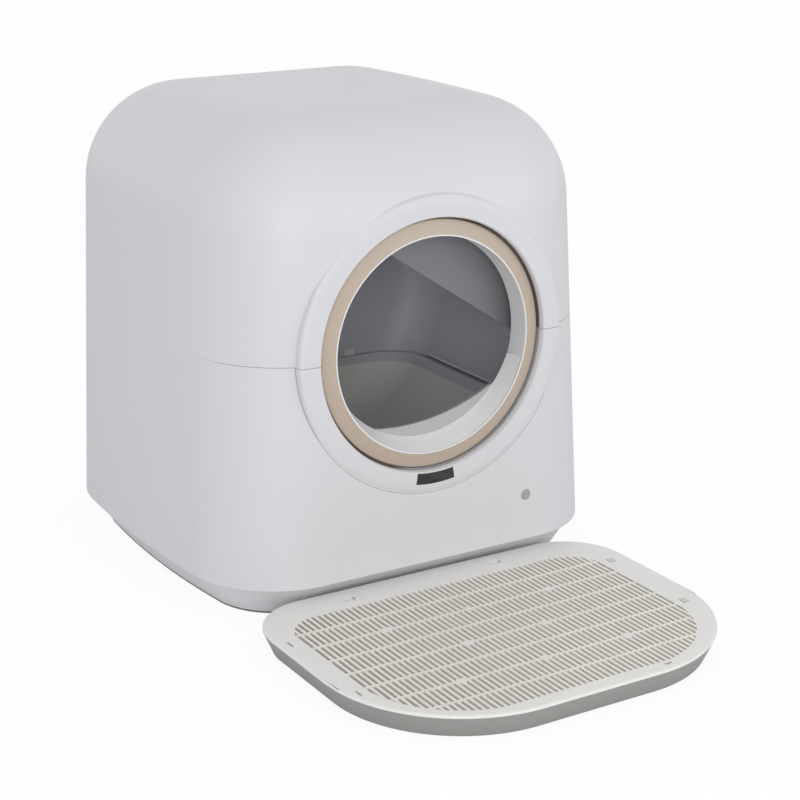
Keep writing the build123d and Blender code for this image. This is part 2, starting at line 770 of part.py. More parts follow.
# Bracket that carries the gear motor: a plate on one leg beside the drawer.
leg_inner = drawer_half + drawer_side_gap + rail_wide + 1
leg_top = panel_top + 6
plate_half = gearbox_size / 2 + 5
with BuildPart() as motor_bracket:
    with BuildSketch(upright(plate_y)):
        with Locations((pinion_x, pinion_z - axis_z)):
            RectangleRounded(2 * plate_half, 2 * plate_half, 8)
            Circle(shaft_radius + 3, mode=Mode.SUBTRACT)
        with Locations(((leg_inner + bracket_reach) / 2, (floor_top + pinion_z) / 2 - axis_z)):
            Rectangle(bracket_reach - leg_inner, pinion_z - floor_top)
    extrude(amount=-bracket_thick)
    with BuildSketch(Plane.XY.offset(floor_top)):
        with Locations(((leg_inner + bracket_reach) / 2, plate_y + bracket_foot_long / 2)):
            Rectangle(bracket_reach - leg_inner, bracket_foot_long)
    extrude(amount=bracket_foot)
motor_bracket.part.label = "motor_bracket"
export_step(motor_bracket.part, "parts/motor_bracket.step")

# ---------------------------------------------------------------- rollers
roller_distance = drum_radius + roller_radius + roller_gap
roller_x = roller_distance * math.sin(math.radians(roller_angle))
roller_z = axis_z - roller_distance * math.cos(math.radians(roller_angle))
cheek_near = roller_width / 2 + cheek_gap
axle_half = cheek_near + cheek_thick + 1


def roller_station(end, side, y):
    """Bracket, axle and roller at one corner; side is -1 left, 1 right."""
    hand = "left" if side < 0 else "right"
    centre = (side * roller_x, roller_z - axis_z)
    with BuildPart() as bracket:
        for start in (y - cheek_near - cheek_thick, y + cheek_near):
            with BuildSketch(upright(start)):
                Polygon(
                    (side * leg_inner, floor_top - axis_z),
                    (side * bracket_edge, floor_top - axis_z),
                    (side * bracket_edge, floor_top + 30 - axis_z),
                    (side * (leg_inner + 16), roller_z - 4 - axis_z),
                    (side * (leg_inner + 6), roller_z + cheek_round - axis_z),
                    (side * roller_x, roller_z + cheek_round - axis_z),
                    (side * roller_x, roller_z - cheek_round - axis_z),
                    (side * leg_inner, leg_top - axis_z),
                    align=None,
                )
                with Locations(centre):
                    Circle(cheek_round)
                    Circle(axle_radius, mode=Mode.SUBTRACT)
            extrude(amount=-cheek_thick)
        with BuildSketch(Plane.XY.offset(floor_top)):
            with Locations((side * (leg_inner + bracket_edge) / 2, y)):
                Rectangle(bracket_edge - leg_inner, 2 * (cheek_near + cheek_thick))
        extrude(amount=bracket_foot)
    bracket.part.label = f"roller_bracket_{end}_{hand}"
    export_step(bracket.part, f"parts/roller_bracket_{end}_{hand}.step")
    with BuildPart() as roller:
        with BuildSketch(upright(y - roller_width / 2)):
            with Locations(centre):
                Circle(roller_radius)
                Circle(axle_radius + axle_fit, mode=Mode.SUBTRACT)
        extrude(amount=-roller_width)
    roller.part.label = f"roller_{end}_{hand}"
    export_step(roller.part, f"parts/roller_{end}_{hand}.step")
    with BuildPart() as axle:
        with BuildSketch(upright(y - axle_half)):
            with Locations(centre):
                Circle(axle_radius)
        extrude(amount=-2 * axle_half)
    return axle.part


axles = []
for end, setback in zip(("front", "rear"), roller_rows):
    for side in (-1, 1):
        axles.append(roller_station(end, side, front_y + setback))
roller_axles = Compound(label="roller_axles", children=axles)
export_step(roller_axles, "parts/roller_axles.step")

# ---------------------------------------------------------------- drawer
drawer_floor = floor_top + drawer_lift
drawer_y = front_y + drawer_setback
drawer_end_y = rear_y - panel_deep
with BuildPart() as waste_drawer:
    with BuildSketch(Plane.XY.offset(drawer_floor)):
        with Locations((0, (drawer_y + drawer_end_y) / 2)):
            RectangleRounded(drawer_width, drawer_end_y - drawer_y, 12)
    extrude(amount=drawer_top - drawer_floor)
    offset(amount=-drawer_wall, openings=waste_drawer.faces().sort_by(Axis.Z)[-1])
waste_drawer.part.label = "waste_drawer"
export_step(waste_drawer.part, "parts/waste_drawer.step")

pull_z = (drawer_floor + drawer_top) / 2 + 1
with BuildPart() as drawer_panel:
    add(outer_form)
    with BuildSketch(Plane.XZ.offset(-drawer_end_y)):
        with Locations((0, (base_rise + panel_gap + panel_top) / 2)):
            Rectangle(2 * panel_half, panel_top - base_rise - panel_gap)
    extrude(amount=-2 * panel_deep, mode=Mode.INTERSECT)
    with BuildSketch(Plane.XZ.offset(-drawer_end_y)):
        with Locations((0, (base_rise + panel_gap + panel_top) / 2)):
            Rectangle(2 * panel_half - 2 * wall, panel_top - base_rise - panel_gap - 2 * wall)
            Rectangle(pull_wide + 2 * wall, panel_top, mode=Mode.SUBTRACT)
    extrude(amount=-(panel_deep - panel_thick), mode=Mode.SUBTRACT)
    with BuildSketch(Plane.XZ.offset(-rear_y)):
        with Locations((0, pull_z)):
            RectangleRounded(pull_wide, pull_high, 8)
    extrude(amount=pull_deep, mode=Mode.SUBTRACT)
drawer_panel.part.label = "drawer_panel"
export_step(drawer_panel.part, "parts/drawer_panel.step")

with BuildPart() as drawer_rails:
    rail_long = rear_y - rail_stop - drawer_y
    for side in (-1, 1):
        with BuildSketch(Plane.XY.offset(floor_top)):
            with Locations((side * (drawer_half - rail_ledge + drawer_side_gap + (rail_ledge + rail_wide) / 2),
                            drawer_y + rail_long / 2)):
                Rectangle(rail_ledge + rail_wide, rail_long)
        extrude(amount=drawer_lift)
        with BuildSketch(Plane.XY.offset(drawer_floor)):
            with Locations((side * (drawer_half + drawer_side_gap + rail_wide / 2),
                            drawer_y + rail_long / 2)):
                Rectangle(rail_wide, rail_long)
        extrude(amount=rail_height)
drawer_rails.part.label = "drawer_rails"
export_step(drawer_rails.part, "parts/drawer_rails.step")

# ---------------------------------------------------------------- electrics
board_y = front_y + board_setback
board_x = -(leg_inner + board_wide / 2 + 3)
board_z = floor_top + standoff_height
with BuildPart() as board_standoffs:
    with BuildSketch(Plane.XY.offset(floor_top)):
        with Locations((board_x, board_y)):
            with GridLocations(board_wide - 10, board_long - 10, 2, 2):
                Circle(3)
    extrude(amount=standoff_height)
board_standoffs.part.label = "board_standoffs"
export_step(board_standoffs.part, "parts/board_standoffs.step")

with BuildPart() as control_board:
    with BuildSketch(Plane.XY.offset(board_z)):
        with Locations((board_x, board_y)):
            RectangleRounded(board_wide, board_long, 3)
    extrude(amount=board_pcb)
    with BuildSketch(Plane.XY.offset(board_z + board_pcb)):
        with Locations((board_x - 8, board_y + 20)):
            Rectangle(18, 16)
        with Locations((board_x + 8, board_y - 6)):
            Rectangle(12, 12)
    extrude(amount=4)
    with BuildSketch(Plane.XY.offset(board_z + board_pcb)):
        with Locations((board_x, board_y - 34)):
            Rectangle(30, 8)
    extrude(amount=9)
control_board.part.label = "control_board"
export_step(control_board.part, "parts/control_board.step")

inlet_wall_y = rear_y - rear_draft * (inlet_z + inlet_block / 2 - base_rise) - wall
with BuildPart() as power_inlet:
    with BuildSketch(upright(inlet_wall_y - inlet_deep)):
        with Locations((inlet_x, inlet_z - axis_z)):
            RectangleRounded(inlet_block, inlet_block, 2)
    extrude(amount=-inlet_deep)
    with BuildSketch(upright(inlet_wall_y)):
        with Locations((inlet_x, inlet_z - axis_z)):
            Circle(inlet_radius)
    extrude(amount=-wall)
    with BuildSketch(upright(inlet_wall_y + wall)):
        with Locations((inlet_x, inlet_z - axis_z)):
            Circle(inlet_bore)
    extrude(amount=inlet_deep, mode=Mode.SUBTRACT)
power_inlet.part.label = "power_inlet"
export_step(power_inlet.part, "parts/power_inlet.step")

# ---------------------------------------------------------------- mat
mat_y = front_y + mat_tuck - mat_depth / 2
mat_top = mat_height - grid_thick


def mat_section(z, inset):
    """Plan of the mat at height z, drawn in by inset."""
    with BuildSketch(Plane.XY.offset(z)) as section:
        with Locations((mat_shift, mat_y)):
            Rectangle(mat_width - 2 * inset, mat_depth - 2 * inset)
        fillet(section.vertices().group_by(Axis.Y)[0], mat_front_corner - inset)
        fillet(section.vertices().group_by(Axis.Y)[-1], mat_back_corner - inset)
    return section.sketch


pad_y = mat_y - pad_back
pad_x = mat_shift + pad_shift
pads = [(pad_x + x, pad_y + y) for y in (-pad_pitch_y, pad_pitch_y) for x in (-pad_pitch_x, 0, pad_pitch_x)]
pads += [(pad_x - pad_mid_x, pad_y), (pad_x + pad_mid_x, pad_y)]
with BuildPart() as mat_tray:
    add(mat_section(0, mat_taper))
    add(mat_section(mat_top, 0))
    loft(ruled=True)
    add(mat_section(mat_wall, mat_taper + mat_wall))
    add(mat_section(mat_top, mat_wall))
    loft(ruled=True, mode=Mode.SUBTRACT)
    with BuildSketch(Plane.XY.offset(mat_wall)):
        with Locations(*pads):
            Circle(pillar_radius)
    extrude(amount=mat_top - mat_wall)
mat_tray.part.label = "mat_tray"
export_step(mat_tray.part, "parts/mat_tray.step")


def in_field(x, y):
    """True where the slotted field of the grid is, x and y from the mat's middle."""
    half_x = mat_width / 2 - grid_rim
    half_y = mat_depth / 2 - grid_rim
    radius = (mat_front_corner if y < 0 else mat_back_corner) - grid_rim
    if abs(x) > half_x or abs(y) > half_y:
        return False
    over_x = max(0.0, abs(x) - (half_x - radius))
    over_y = max(0.0, abs(y) - (half_y - radius))
    return math.hypot(over_x, over_y) <= radius


column_pitch = (mat_width - 2 * grid_rim) / grid_columns
row_pitch = (mat_depth - 2 * grid_rim) / grid_rows
slot_wide = column_pitch - grid_bar
slot_long = row_pitch - grid_rib
slots = []
for row in range(grid_rows):
    for column in range(grid_columns):
        x = (column - (grid_columns - 1) / 2) * column_pitch
        y = (row - (grid_rows - 1) / 2) * row_pitch
        corners = [(x + i * slot_wide / 2, y + j * slot_long / 2) for i in (-1, 1) for j in (-1, 1)]
        clear = all(
            abs(x + mat_shift - px) > slot_wide / 2 + pad_radius - 1
            or abs(y + mat_y - py) > slot_long / 2 + pad_radius - 1
            for px, py in pads
        )
        if clear and all(in_field(*corner) for corner in corners):
            slots.append((mat_shift + x, mat_y + y))

clip_x = mat_width / 2 - clip_inset_side
clip_ends = (clip_inset_front - mat_depth / 2, mat_depth / 2 - clip_inset_back)
side_clips = [(mat_shift + i * clip_x, mat_y + j) for i in (-1, 1) for j in (clip_back, clip_front)]
end_clips = [(mat_shift + i * clip_spread, mat_y + j) for i in (-1, 1) for j in clip_ends]
with BuildPart() as mat_grid:
    add(mat_section(mat_top, 0))
    extrude(amount=grid_thick)
    fillet(mat_grid.edges().group_by(Axis.Z)[-1], 1.2)
    with BuildSketch(Plane.XY.offset(mat_top)):
        with Locations(*slots):
            Rectangle(slot_wide, slot_long)
        with Locations(*side_clips):
            Rectangle(clip_wide, clip_long)
        with Locations(*end_clips):
            Rectangle(clip_long, clip_wide)
    extrude(amount=grid_thick, mode=Mode.SUBTRACT)
    add(mat_section(mat_top - grid_lip, mat_wall + mat_taper * grid_lip / mat_top + fit_gap))
    extrude(amount=grid_lip)
    add(mat_section(mat_top - grid_lip, mat_wall + mat_taper * grid_lip / mat_top + fit_gap + lip_wall))
    extrude(amount=grid_lip, mode=Mode.SUBTRACT)
mat_grid.part.label = "mat_grid"
export_step(mat_grid.part, "parts/mat_grid.step")
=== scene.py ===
import math

import bmesh
import bpy
from bpy.props import FloatProperty, FloatVectorProperty, IntProperty, PointerProperty
from mathutils import Matrix, Vector


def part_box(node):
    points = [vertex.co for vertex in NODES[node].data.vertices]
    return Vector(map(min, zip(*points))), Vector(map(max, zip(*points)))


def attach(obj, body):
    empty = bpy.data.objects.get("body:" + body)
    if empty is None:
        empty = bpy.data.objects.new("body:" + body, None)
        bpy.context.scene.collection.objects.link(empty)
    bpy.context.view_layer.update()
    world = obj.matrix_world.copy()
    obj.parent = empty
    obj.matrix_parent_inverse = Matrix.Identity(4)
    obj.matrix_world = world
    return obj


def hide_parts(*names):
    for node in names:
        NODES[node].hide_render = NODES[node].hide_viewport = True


bl_info = {
    "name": "Self-cleaning litter box",
    "version": (1, 0, 0),
    "blender": (4, 5, 0),
    "location": "View3D > Sidebar > Litter box",
    "description": "Dresses the litter box's solids with moulded plastics, felt and metal, "
                   "and adds its fine mat grid and its screws",
    "category": "Object",
}

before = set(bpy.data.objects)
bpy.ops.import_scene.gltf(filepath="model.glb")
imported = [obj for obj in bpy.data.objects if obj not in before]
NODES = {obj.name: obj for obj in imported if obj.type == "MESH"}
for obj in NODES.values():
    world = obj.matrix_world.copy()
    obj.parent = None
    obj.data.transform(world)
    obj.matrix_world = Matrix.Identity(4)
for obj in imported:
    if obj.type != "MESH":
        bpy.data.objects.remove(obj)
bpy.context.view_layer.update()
MM = 0.001

# Places on the solids that the finishes read.
AXIS_Z = 0.281                   # the drum's axis
JOINT_Z = 0.280                  # joint between the cover and the lower body
JOINT_FADE = (0.02, -0.04)       # the joint's shadow comes up between these, towards the front
JOINT_HALF = 0.3 * MM            # half the width of that shadow
BEZEL_SEAM = 0.1633              # radius of the seam round the half bezel
BEZEL_SEAM_HALF = 0.25 * MM
BEZEL_BACK = -0.065              # that seam lies in front of this
SHADED_BORE_FADE = (-0.05, -0.03)        # painted grey of the shaded bore wall comes up on the felt between these, towards the right
# the fence's upright face, with its painted shade, lies behind this
FENCE_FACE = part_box("litter_fence")[1].y - 4.2 * MM
LINER_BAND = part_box("drum_liner")[1].z - 11.5 * MM
# painted shadow and painted highlight along the wiper's lower edge
WIPER_SHADOW_Z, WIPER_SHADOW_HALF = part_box("wiper_strip")[0].z + 1.4 * MM, 1.3 * MM
WIPER_HIGHLIGHT_Z, WIPER_HIGHLIGHT_HALF = WIPER_SHADOW_Z + 2.0 * MM, 0.7 * MM
JOINT_SHADE, SLIT_SHADOW, EDGE_HIGHLIGHT = 0.3, 0.22, 1.4    # shares of the colour beside them: painted shadow in the joint and along the wiper, painted highlight on the wiper's edge

# Sizes and places of the pieces that are added.
BRACKET_FOOT = 4 * MM            # thickness of a bracket's foot
BOARD_THICK = 1.6 * MM
BRACKET_SCREWS = (10 * MM, 33 * MM)     # in from a roller bracket's outer edge
MOTOR_FOOT_SCREWS = (12 * MM, 48 * MM)  # in from the motor bracket's right edge
MOTOR_FOOT_BACK = 9 * MM         # in from its back edge
MOTOR_FACE_SCREW = 7 * MM        # in from the motor's edges
BOARD_SCREW = 3 * MM             # in from the standoffs' outline
FOOT_HEAD, FACE_HEAD, BOARD_HEAD = 3.4 * MM, 3.0 * MM, 2.4 * MM    # radii of the screws' heads
HEAD_HEIGHT, HEAD_TOP, HEAD_ROUND = 0.7, 0.96, 0.28                # shares of that radius
RECESS_RING, RECESS_SLOPE, RECESS_DEPTH = 0.36, 0.04, 0.35
LINER_TAB, LINER_TAB_ROUND = (14 * MM, 9 * MM, 1.8 * MM), 2.5 * MM
LINER_TAB_PLACE = (0.074, 0.2295, 0.1855)
MARGIN = 1.6 * MM                # plain strip along the mat's outline, wide enough for its rounded edge
RIM_ROUND = 1.1 * MM             # rounded edge of the mat's grid
CORNER_STEP, CORNER_TURN = 3, 45  # degrees between lines that cross the outline's corners, and of them all
BEND_CLEAR = 0.4 * MM            # least gap between such a line and the slots
SHORTEST_SLOT = 1.5 * MM         # a slot that the field's corner leaves shorter than this stays closed
WELD = 0.05 * MM                 # points closer than this become one
OUTLINE_NEAR = 0.3 * MM          # a point this close to the outline lies on it
PAD_SIZE, PAD_ROUND = 9.6 * MM, 2.6 * MM
PAD_RISE, PAD_SINK = 0.2 * MM, 0.1 * MM  # above the grid, and into the tray's rim
PAD_MIDDLE = (-8.5 * MM, -14 * MM)      # of all the pads, from the mat's middle
PADS = ((-100, -69), (0, -69), (100, -69), (-100, 69), (0, 69), (100, 69), (-46, 0), (46, 0))

# Clip slots of the mat's border, in mm from its middle: x, y, size across, size back to front, and
# the tab in it, given by how far it stands aside, back and down from the slot's middle.
CLIP_DEPTH = 12 * MM
CLIP_TAB_THICK, CLIP_TAB_ROUND = 2 * MM, 0.3 * MM
CLIP_TAB_GAPS = (2.4 * MM, 0.4 * MM)     # less than the slot, across and back to front
CLIPS = (
    (-210, 75, 2.6, 13, None),
    (-206, -54, 2.6, 12, None),
    (199, 84, 8, 13, (2.2, 0, 2)),
    (197.5, -45, 8, 13, (2.2, 0, 2)),
    (-103, 142, 13, 8, (-0.8, 0.9, 0.2)),
    (86, 146, 13, 8, (-0.8, 0.9, 0.2)),
    (86, -156, 9, 3.4, None),
)

# Studio.
FLOOR_HALF = 12.0
PAPER_WHITE = 0.86               # share of plain white in the floor that the camera sees
PAPER_GLOW = 1.04
LAMPS = (                        # name, setting with the power, place, size
    ("key_light", "key", (-1.8, -2.8, 0.8), 1.8),
    ("fill_light", "fill", (1.7, -2.9, 0.8), 2.2),
)
LAMP_AIM = (0, 0.1, 0.25)
CAMERA_PLACE = (-1.0350, -1.7075, 0.8329)
CAMERA_TURN = (math.radians(72.38), 0.0, math.radians(-31.39))

# Settings of the shader nodes that are used again and again.
BLEND = {"data_type": "RGBA"}
COMPARE, ABOVE, BELOW = {"operation": "COMPARE"}, {"operation": "GREATER_THAN"}, {"operation": "LESS_THAN"}
PRODUCT, LARGER, MINUS = {"operation": "MULTIPLY"}, {"operation": "MAXIMUM"}, {"operation": "SUBTRACT"}


def shade(rgb, share):
    """A colour made darker or lighter by a share."""
    return tuple(min(1.0, c * share) for c in rgb)


def linear(code):
    """Linear RGB of an sRGB hex colour."""
    values = [int(code[i:i + 2], 16) / 255 for i in (1, 3, 5)]
    return tuple(v / 12.92 if v <= 0.04045 else ((v + 0.055) / 1.055) ** 2.4 for v in values)


# ---------------------------------------------------------------- properties
def colour(name, description, code):
    """Colour property whose default is an sRGB hex value."""
    return FloatVectorProperty(name=name, description=description, subtype="COLOR", size=3,
                               min=0.0, max=1.0, default=linear(code))


class LitterBoxColours(bpy.types.PropertyGroup):
    """Colours of the litter box's finishes, and the painted shade on the fence's face and low on the felt.
    """
    housing: colour("Housing", "Cover, body and bezel", "#D6D6D9")
    base: colour("Base", "Drawn-in base under the housing", "#DCDCDE")
    drum: colour("Drum", "Inside and outside of the drum", "#C6C7CE")
    guard: colour("Guard", "Guard plate and sieve in the drum", "#77777B")
    mouth: colour("Drum mouth", "White tunnel, threshold and rim of the drum", "#E6E6E5")
    # painted shade: the fence's upright face is drawn darker than its threshold ramp, for the shade that
    # falls on it
    fence: colour("Fence", "Upright face of the litter fence", "#B2B2B3")
    liner: colour("Liner", "Litter liner in the drum", "#E2E2DE")
    trim: colour("Trim ring", "Tan ring round the entrance", "#BDAD9D")
    felt: colour("Felt", "Seal in the gap round the trim ring", "#4A3A30")
    # painted shade: the grey of the bezel's bore wall in shadow, laid on the felt low on the right
    shaded_bore_grey: colour("Felt lip", "Pale backing of the seal where the half bezel holds it", "#8C8C8D")
    window: colour("Window", "Dark display window", "#17181A")
    button: colour("Button", "Round control button", "#A0A2A4")
    tray: colour("Mat tray", "Tray of the mat", "#9A9996")
    grid: colour("Mat grid", "Slotted field of the mat", "#EFEBE2")
    border: colour("Mat border", "Plain border round the slots", "#EBE9E5")
    drawer: colour("Drawer", "Waste drawer", "#9B9DA0")


class MatGridSizes(bpy.types.PropertyGroup):
    """Sizes of the mat's slotted top."""
    field_width: FloatProperty(name="Field width", description="Slotted field, across",
                               default=383 * MM, unit="LENGTH", min=0.05)
    field_length: FloatProperty(name="Field length", description="Slotted field, back to front",
                                default=275 * MM, unit="LENGTH", min=0.05)
    field_shift: FloatVectorProperty(name="Field shift", size=2, subtype="TRANSLATION",
                                     description="Middle of the field from the mat's middle",
                                     default=(-5.5 * MM, -13.5 * MM))
    field_front: FloatProperty(name="Field front", description="Plan radius of the field's front corners",
                               default=112 * MM, unit="LENGTH", min=0.01)
    field_back: FloatProperty(name="Field back", description="Plan radius of the field's back corners",
                              default=45 * MM, unit="LENGTH", min=0.01)
    columns: IntProperty(name="Columns", description="Slots across the mat", default=56, min=4)
    rows: IntProperty(name="Rows", description="Rows of slots from back to front", default=8, min=2)
    rib: FloatProperty(name="Rib", description="Width of the ribs between slots of a row",
                       default=3.2 * MM, unit="LENGTH", min=0.001)
    cross_rib: FloatProperty(name="Cross rib", description="Width of the ribs between rows",
                             default=2.8 * MM, unit="LENGTH", min=0.001)
    front_corner: FloatProperty(name="Front corner", description="Plan radius of the front corners",
                                default=152 * MM, unit="LENGTH", min=0.01)
    back_corner: FloatProperty(name="Back corner", description="Plan radius of the back corners",
                               default=70 * MM, unit="LENGTH", min=0.01)


class StudioSettings(bpy.types.PropertyGroup):
    """Camera and light of the studio."""
    lens: FloatProperty(name="Lens", description="Focal length on a 36 mm sensor", default=85.1, min=10.0)
    key: FloatProperty(name="Key light", description="Power of the key light in watts",
                       default=26.0, min=0.0)
    fill: FloatProperty(name="Fill light", description="Power of the fill light in watts",
                        default=17.0, min=0.0)
    sky: FloatProperty(name="Sky", description="Strength of the light from all round",
                       default=0.77, min=0.0)


# ---------------------------------------------------------------- materials
def add_node(tree, kind, settings=None, **links):
    """One shader node, with its settings and what its sockets take: a value or another node's output.

    A socket is named by its words joined with underscores, or in0, in1 and so on by its place.
    """
    node = tree.nodes.new(kind)
    for key, value in (settings or {}).items():
        setattr(node, key, value)
    for key, value in links.items():
        numbered = key[:2] == "in" and key[2:].isdigit()
        socket = node.inputs[int(key[2:]) if numbered else key.replace("_", " ")]
        if isinstance(value, bpy.types.NodeSocket):
            tree.links.new(value, socket)
        else:
            socket.default_value = value
    return node


def new_material(name):
    """New node material, its tree and its shader."""
    material = bpy.data.materials.new(name)
    material.use_nodes = True
    tree = material.node_tree
    shader = tree.nodes["Principled BSDF"]
    return material, tree, shader


def moulded_plastic(name, rgb, roughness, grain=0.35, depth=0.012, zones=(), tone=0.02, ior=1.53):
    """Injection-moulded plastic with a fine spark-eroded texture.

    The eye sees a satin skin whose highlights spread softly: its grain is a few tenths of a
    millimetre, drawn a little coarser so that it shows, and the colour drifts very slightly
    where the melt flowed. zones pairs a mask with the colour that it lays over the rest.
    """
    material, tree, shader = new_material(name)
    place = add_node(tree, "ShaderNodeTexCoord").outputs["Object"]
    drift = add_node(tree, "ShaderNodeTexNoise", Vector=place, Scale=1000 / 160, Detail=2.0, Roughness=0.5)
    skin = add_node(tree, "ShaderNodeMix", BLEND, in0=drift.outputs["Fac"],
                    in6=shade(rgb, 1 - tone) + (1,), in7=shade(rgb, 1 + tone) + (1,))
    base = skin.outputs[2]
    for mask, tint in zones:
        base = add_node(tree, "ShaderNodeMix", BLEND, in0=mask(tree, place), in6=base,
                        in7=(*tint, 1)).outputs[2]
    tree.links.new(base, shader.inputs["Base Color"])
    gloss = add_node(tree, "ShaderNodeTexNoise", Vector=place, Scale=1000 / 40, Detail=3.0, Roughness=0.6)
    rough = add_node(tree, "ShaderNodeMapRange", Value=gloss.outputs["Fac"], From_Min=0.3, From_Max=0.7,
                     To_Min=roughness - 0.03, To_Max=roughness + 0.04)
    tree.links.new(rough.outputs["Result"], shader.inputs["Roughness"])
    pits = add_node(tree, "ShaderNodeTexNoise", Vector=place, Scale=1 / (grain * MM), Detail=2.0,
                    Roughness=0.55)
    bump = add_node(tree, "ShaderNodeBump", Strength=0.35, Distance=depth * MM, Height=pits.outputs["Fac"])
    tree.links.new(bump.outputs["Normal"], shader.inputs["Normal"])
    shader.inputs["IOR"].default_value = ior
    return material


def housing_seams(tree, place):
    """Shadow in the joint under the cover and round the half bezel."""
    axes = add_node(tree, "ShaderNodeSeparateXYZ", Vector=place)
    x, y, z = (axes.outputs[axis] for axis in "XYZ")
    front = add_node(tree, "ShaderNodeMapRange", Value=y, From_Min=JOINT_FADE[0], From_Max=JOINT_FADE[1])
    level = add_node(tree, "ShaderNodeMath", COMPARE, in0=z, in1=JOINT_Z, in2=JOINT_HALF)
    joint = add_node(tree, "ShaderNodeMath", PRODUCT, in0=level.outputs[0], in1=front.outputs["Result"])
    height = add_node(tree, "ShaderNodeMath", MINUS, in0=z, in1=AXIS_Z)
    from_axis = add_node(tree, "ShaderNodeCombineXYZ", X=x, Z=height.outputs[0])
    radius = add_node(tree, "ShaderNodeVectorMath", {"operation": "LENGTH"}, in0=from_axis.outputs[0])
    ring = add_node(tree, "ShaderNodeMath", COMPARE, in0=radius.outputs["Value"], in1=BEZEL_SEAM,
                    in2=BEZEL_SEAM_HALF)
    lower = add_node(tree, "ShaderNodeMath", BELOW, in0=z, in1=JOINT_Z)
    half_ring = add_node(tree, "ShaderNodeMath", PRODUCT, in0=ring.outputs[0], in1=lower.outputs[0])
    face = add_node(tree, "ShaderNodeMath", BELOW, in0=y, in1=BEZEL_BACK)
    bezel = add_node(tree, "ShaderNodeMath", PRODUCT, in0=half_ring.outputs[0], in1=face.outputs[0])
    return add_node(tree, "ShaderNodeMath", LARGER, in0=joint.outputs[0], in1=bezel.outputs[0]).outputs[0]


def fence_face_shade(tree, place):
    """Painted shade on the fence's upright face, behind the threshold ramp."""
    axes = add_node(tree, "ShaderNodeSeparateXYZ", Vector=place)
    return add_node(tree, "ShaderNodeMath", ABOVE, in0=axes.outputs["Y"], in1=FENCE_FACE).outputs[0]


def liner_band(tree, place):
    """The liner's rim and the band under it."""
    axes = add_node(tree, "ShaderNodeSeparateXYZ", Vector=place)
    return add_node(tree, "ShaderNodeMath", ABOVE, in0=axes.outputs["Z"], in1=LINER_BAND).outputs[0]


def wiper_slit_shadow(tree, place):
    """Painted shadow: a dark line along the lower edge of the wiper strip."""
    axes = add_node(tree, "ShaderNodeSeparateXYZ", Vector=place)
    return add_node(tree, "ShaderNodeMath", COMPARE, in0=axes.outputs["Z"], in1=WIPER_SHADOW_Z,
                    in2=WIPER_SHADOW_HALF).outputs[0]


def wiper_edge_highlight(tree, place):
    """Painted highlight: a pale line along the wiper's edge, above that shadow."""
    axes = add_node(tree, "ShaderNodeSeparateXYZ", Vector=place)
    return add_node(tree, "ShaderNodeMath", COMPARE, in0=axes.outputs["Z"], in1=WIPER_HIGHLIGHT_Z,
                    in2=WIPER_HIGHLIGHT_HALF).outputs[0]


def needle_felt(name, rgb, shaded_bore_grey):
    """Needle-punched polyester felt: short matted fibres, no gloss, a soft nap at grazing angles.

    Low on the right it takes painted shade: the grey of the bezel's bore wall, which lies there in shadow.
    """
    material, tree, shader = new_material(name)
    place = add_node(tree, "ShaderNodeTexCoord").outputs["Object"]
    warp = add_node(tree, "ShaderNodeTexNoise", Vector=place, Scale=1000 / 2.5, Detail=4.0, Roughness=0.7,
                    Distortion=1.2)
    tint = add_node(tree, "ShaderNodeMix", BLEND, in0=warp.outputs["Fac"],
                    in6=shade(rgb, 0.7) + (1,), in7=shade(rgb, 1.35) + (1,))
    # painted shade: low on the right the felt takes the grey of the bezel's shaded bore wall
    axes = add_node(tree, "ShaderNodeSeparateXYZ", Vector=place)
    low = add_node(tree, "ShaderNodeMath", BELOW, in0=axes.outputs["Z"], in1=AXIS_Z)
    right = add_node(tree, "ShaderNodeMapRange", Value=axes.outputs["X"], From_Min=SHADED_BORE_FADE[0],
                     From_Max=SHADED_BORE_FADE[1])
    painted_shade = add_node(tree, "ShaderNodeMath", PRODUCT, in0=low.outputs[0], in1=right.outputs["Result"])
    pale = add_node(tree, "ShaderNodeMix", BLEND, in0=painted_shade.outputs[0], in6=tint.outputs[2],
                    in7=(*shaded_bore_grey, 1))
    tree.links.new(pale.outputs[2], shader.inputs["Base Color"])
    bump = add_node(tree, "ShaderNodeBump", Strength=0.8, Distance=0.2 * MM, Height=warp.outputs["Fac"])
    tree.links.new(bump.outputs["Normal"], shader.inputs["Normal"])
    shader.inputs["Roughness"].default_value = 0.95
    shader.inputs["Sheen Weight"].default_value = 0.3
    shader.inputs["Sheen Roughness"].default_value = 0.5
    return material


def smoked_acrylic(name, rgb):
    """Smoked acrylic window: nearly black and mirror-smooth, with the faintest orange peel."""
    material, tree, shader = new_material(name)
    place = add_node(tree, "ShaderNodeTexCoord").outputs["Object"]
    peel = add_node(tree, "ShaderNodeTexNoise", Vector=place, Scale=1000 / 6, Detail=1.0)
    glow = add_node(tree, "ShaderNodeMix", BLEND, in0=peel.outputs["Fac"],
                    in6=shade(rgb, 0.8) + (1,), in7=shade(rgb, 1.3) + (1,))
    tree.links.new(glow.outputs[2], shader.inputs["Base Color"])
    bump = add_node(tree, "ShaderNodeBump", Strength=0.2, Distance=0.01 * MM, Height=peel.outputs["Fac"])
    tree.links.new(bump.outputs["Normal"], shader.inputs["Normal"])
    shader.inputs["Roughness"].default_value = 0.08
    shader.inputs["IOR"].default_value = 1.49
    shader.inputs["Coat Weight"].default_value = 0.5
    shader.inputs["Coat Roughness"].default_value = 0.03
    return material


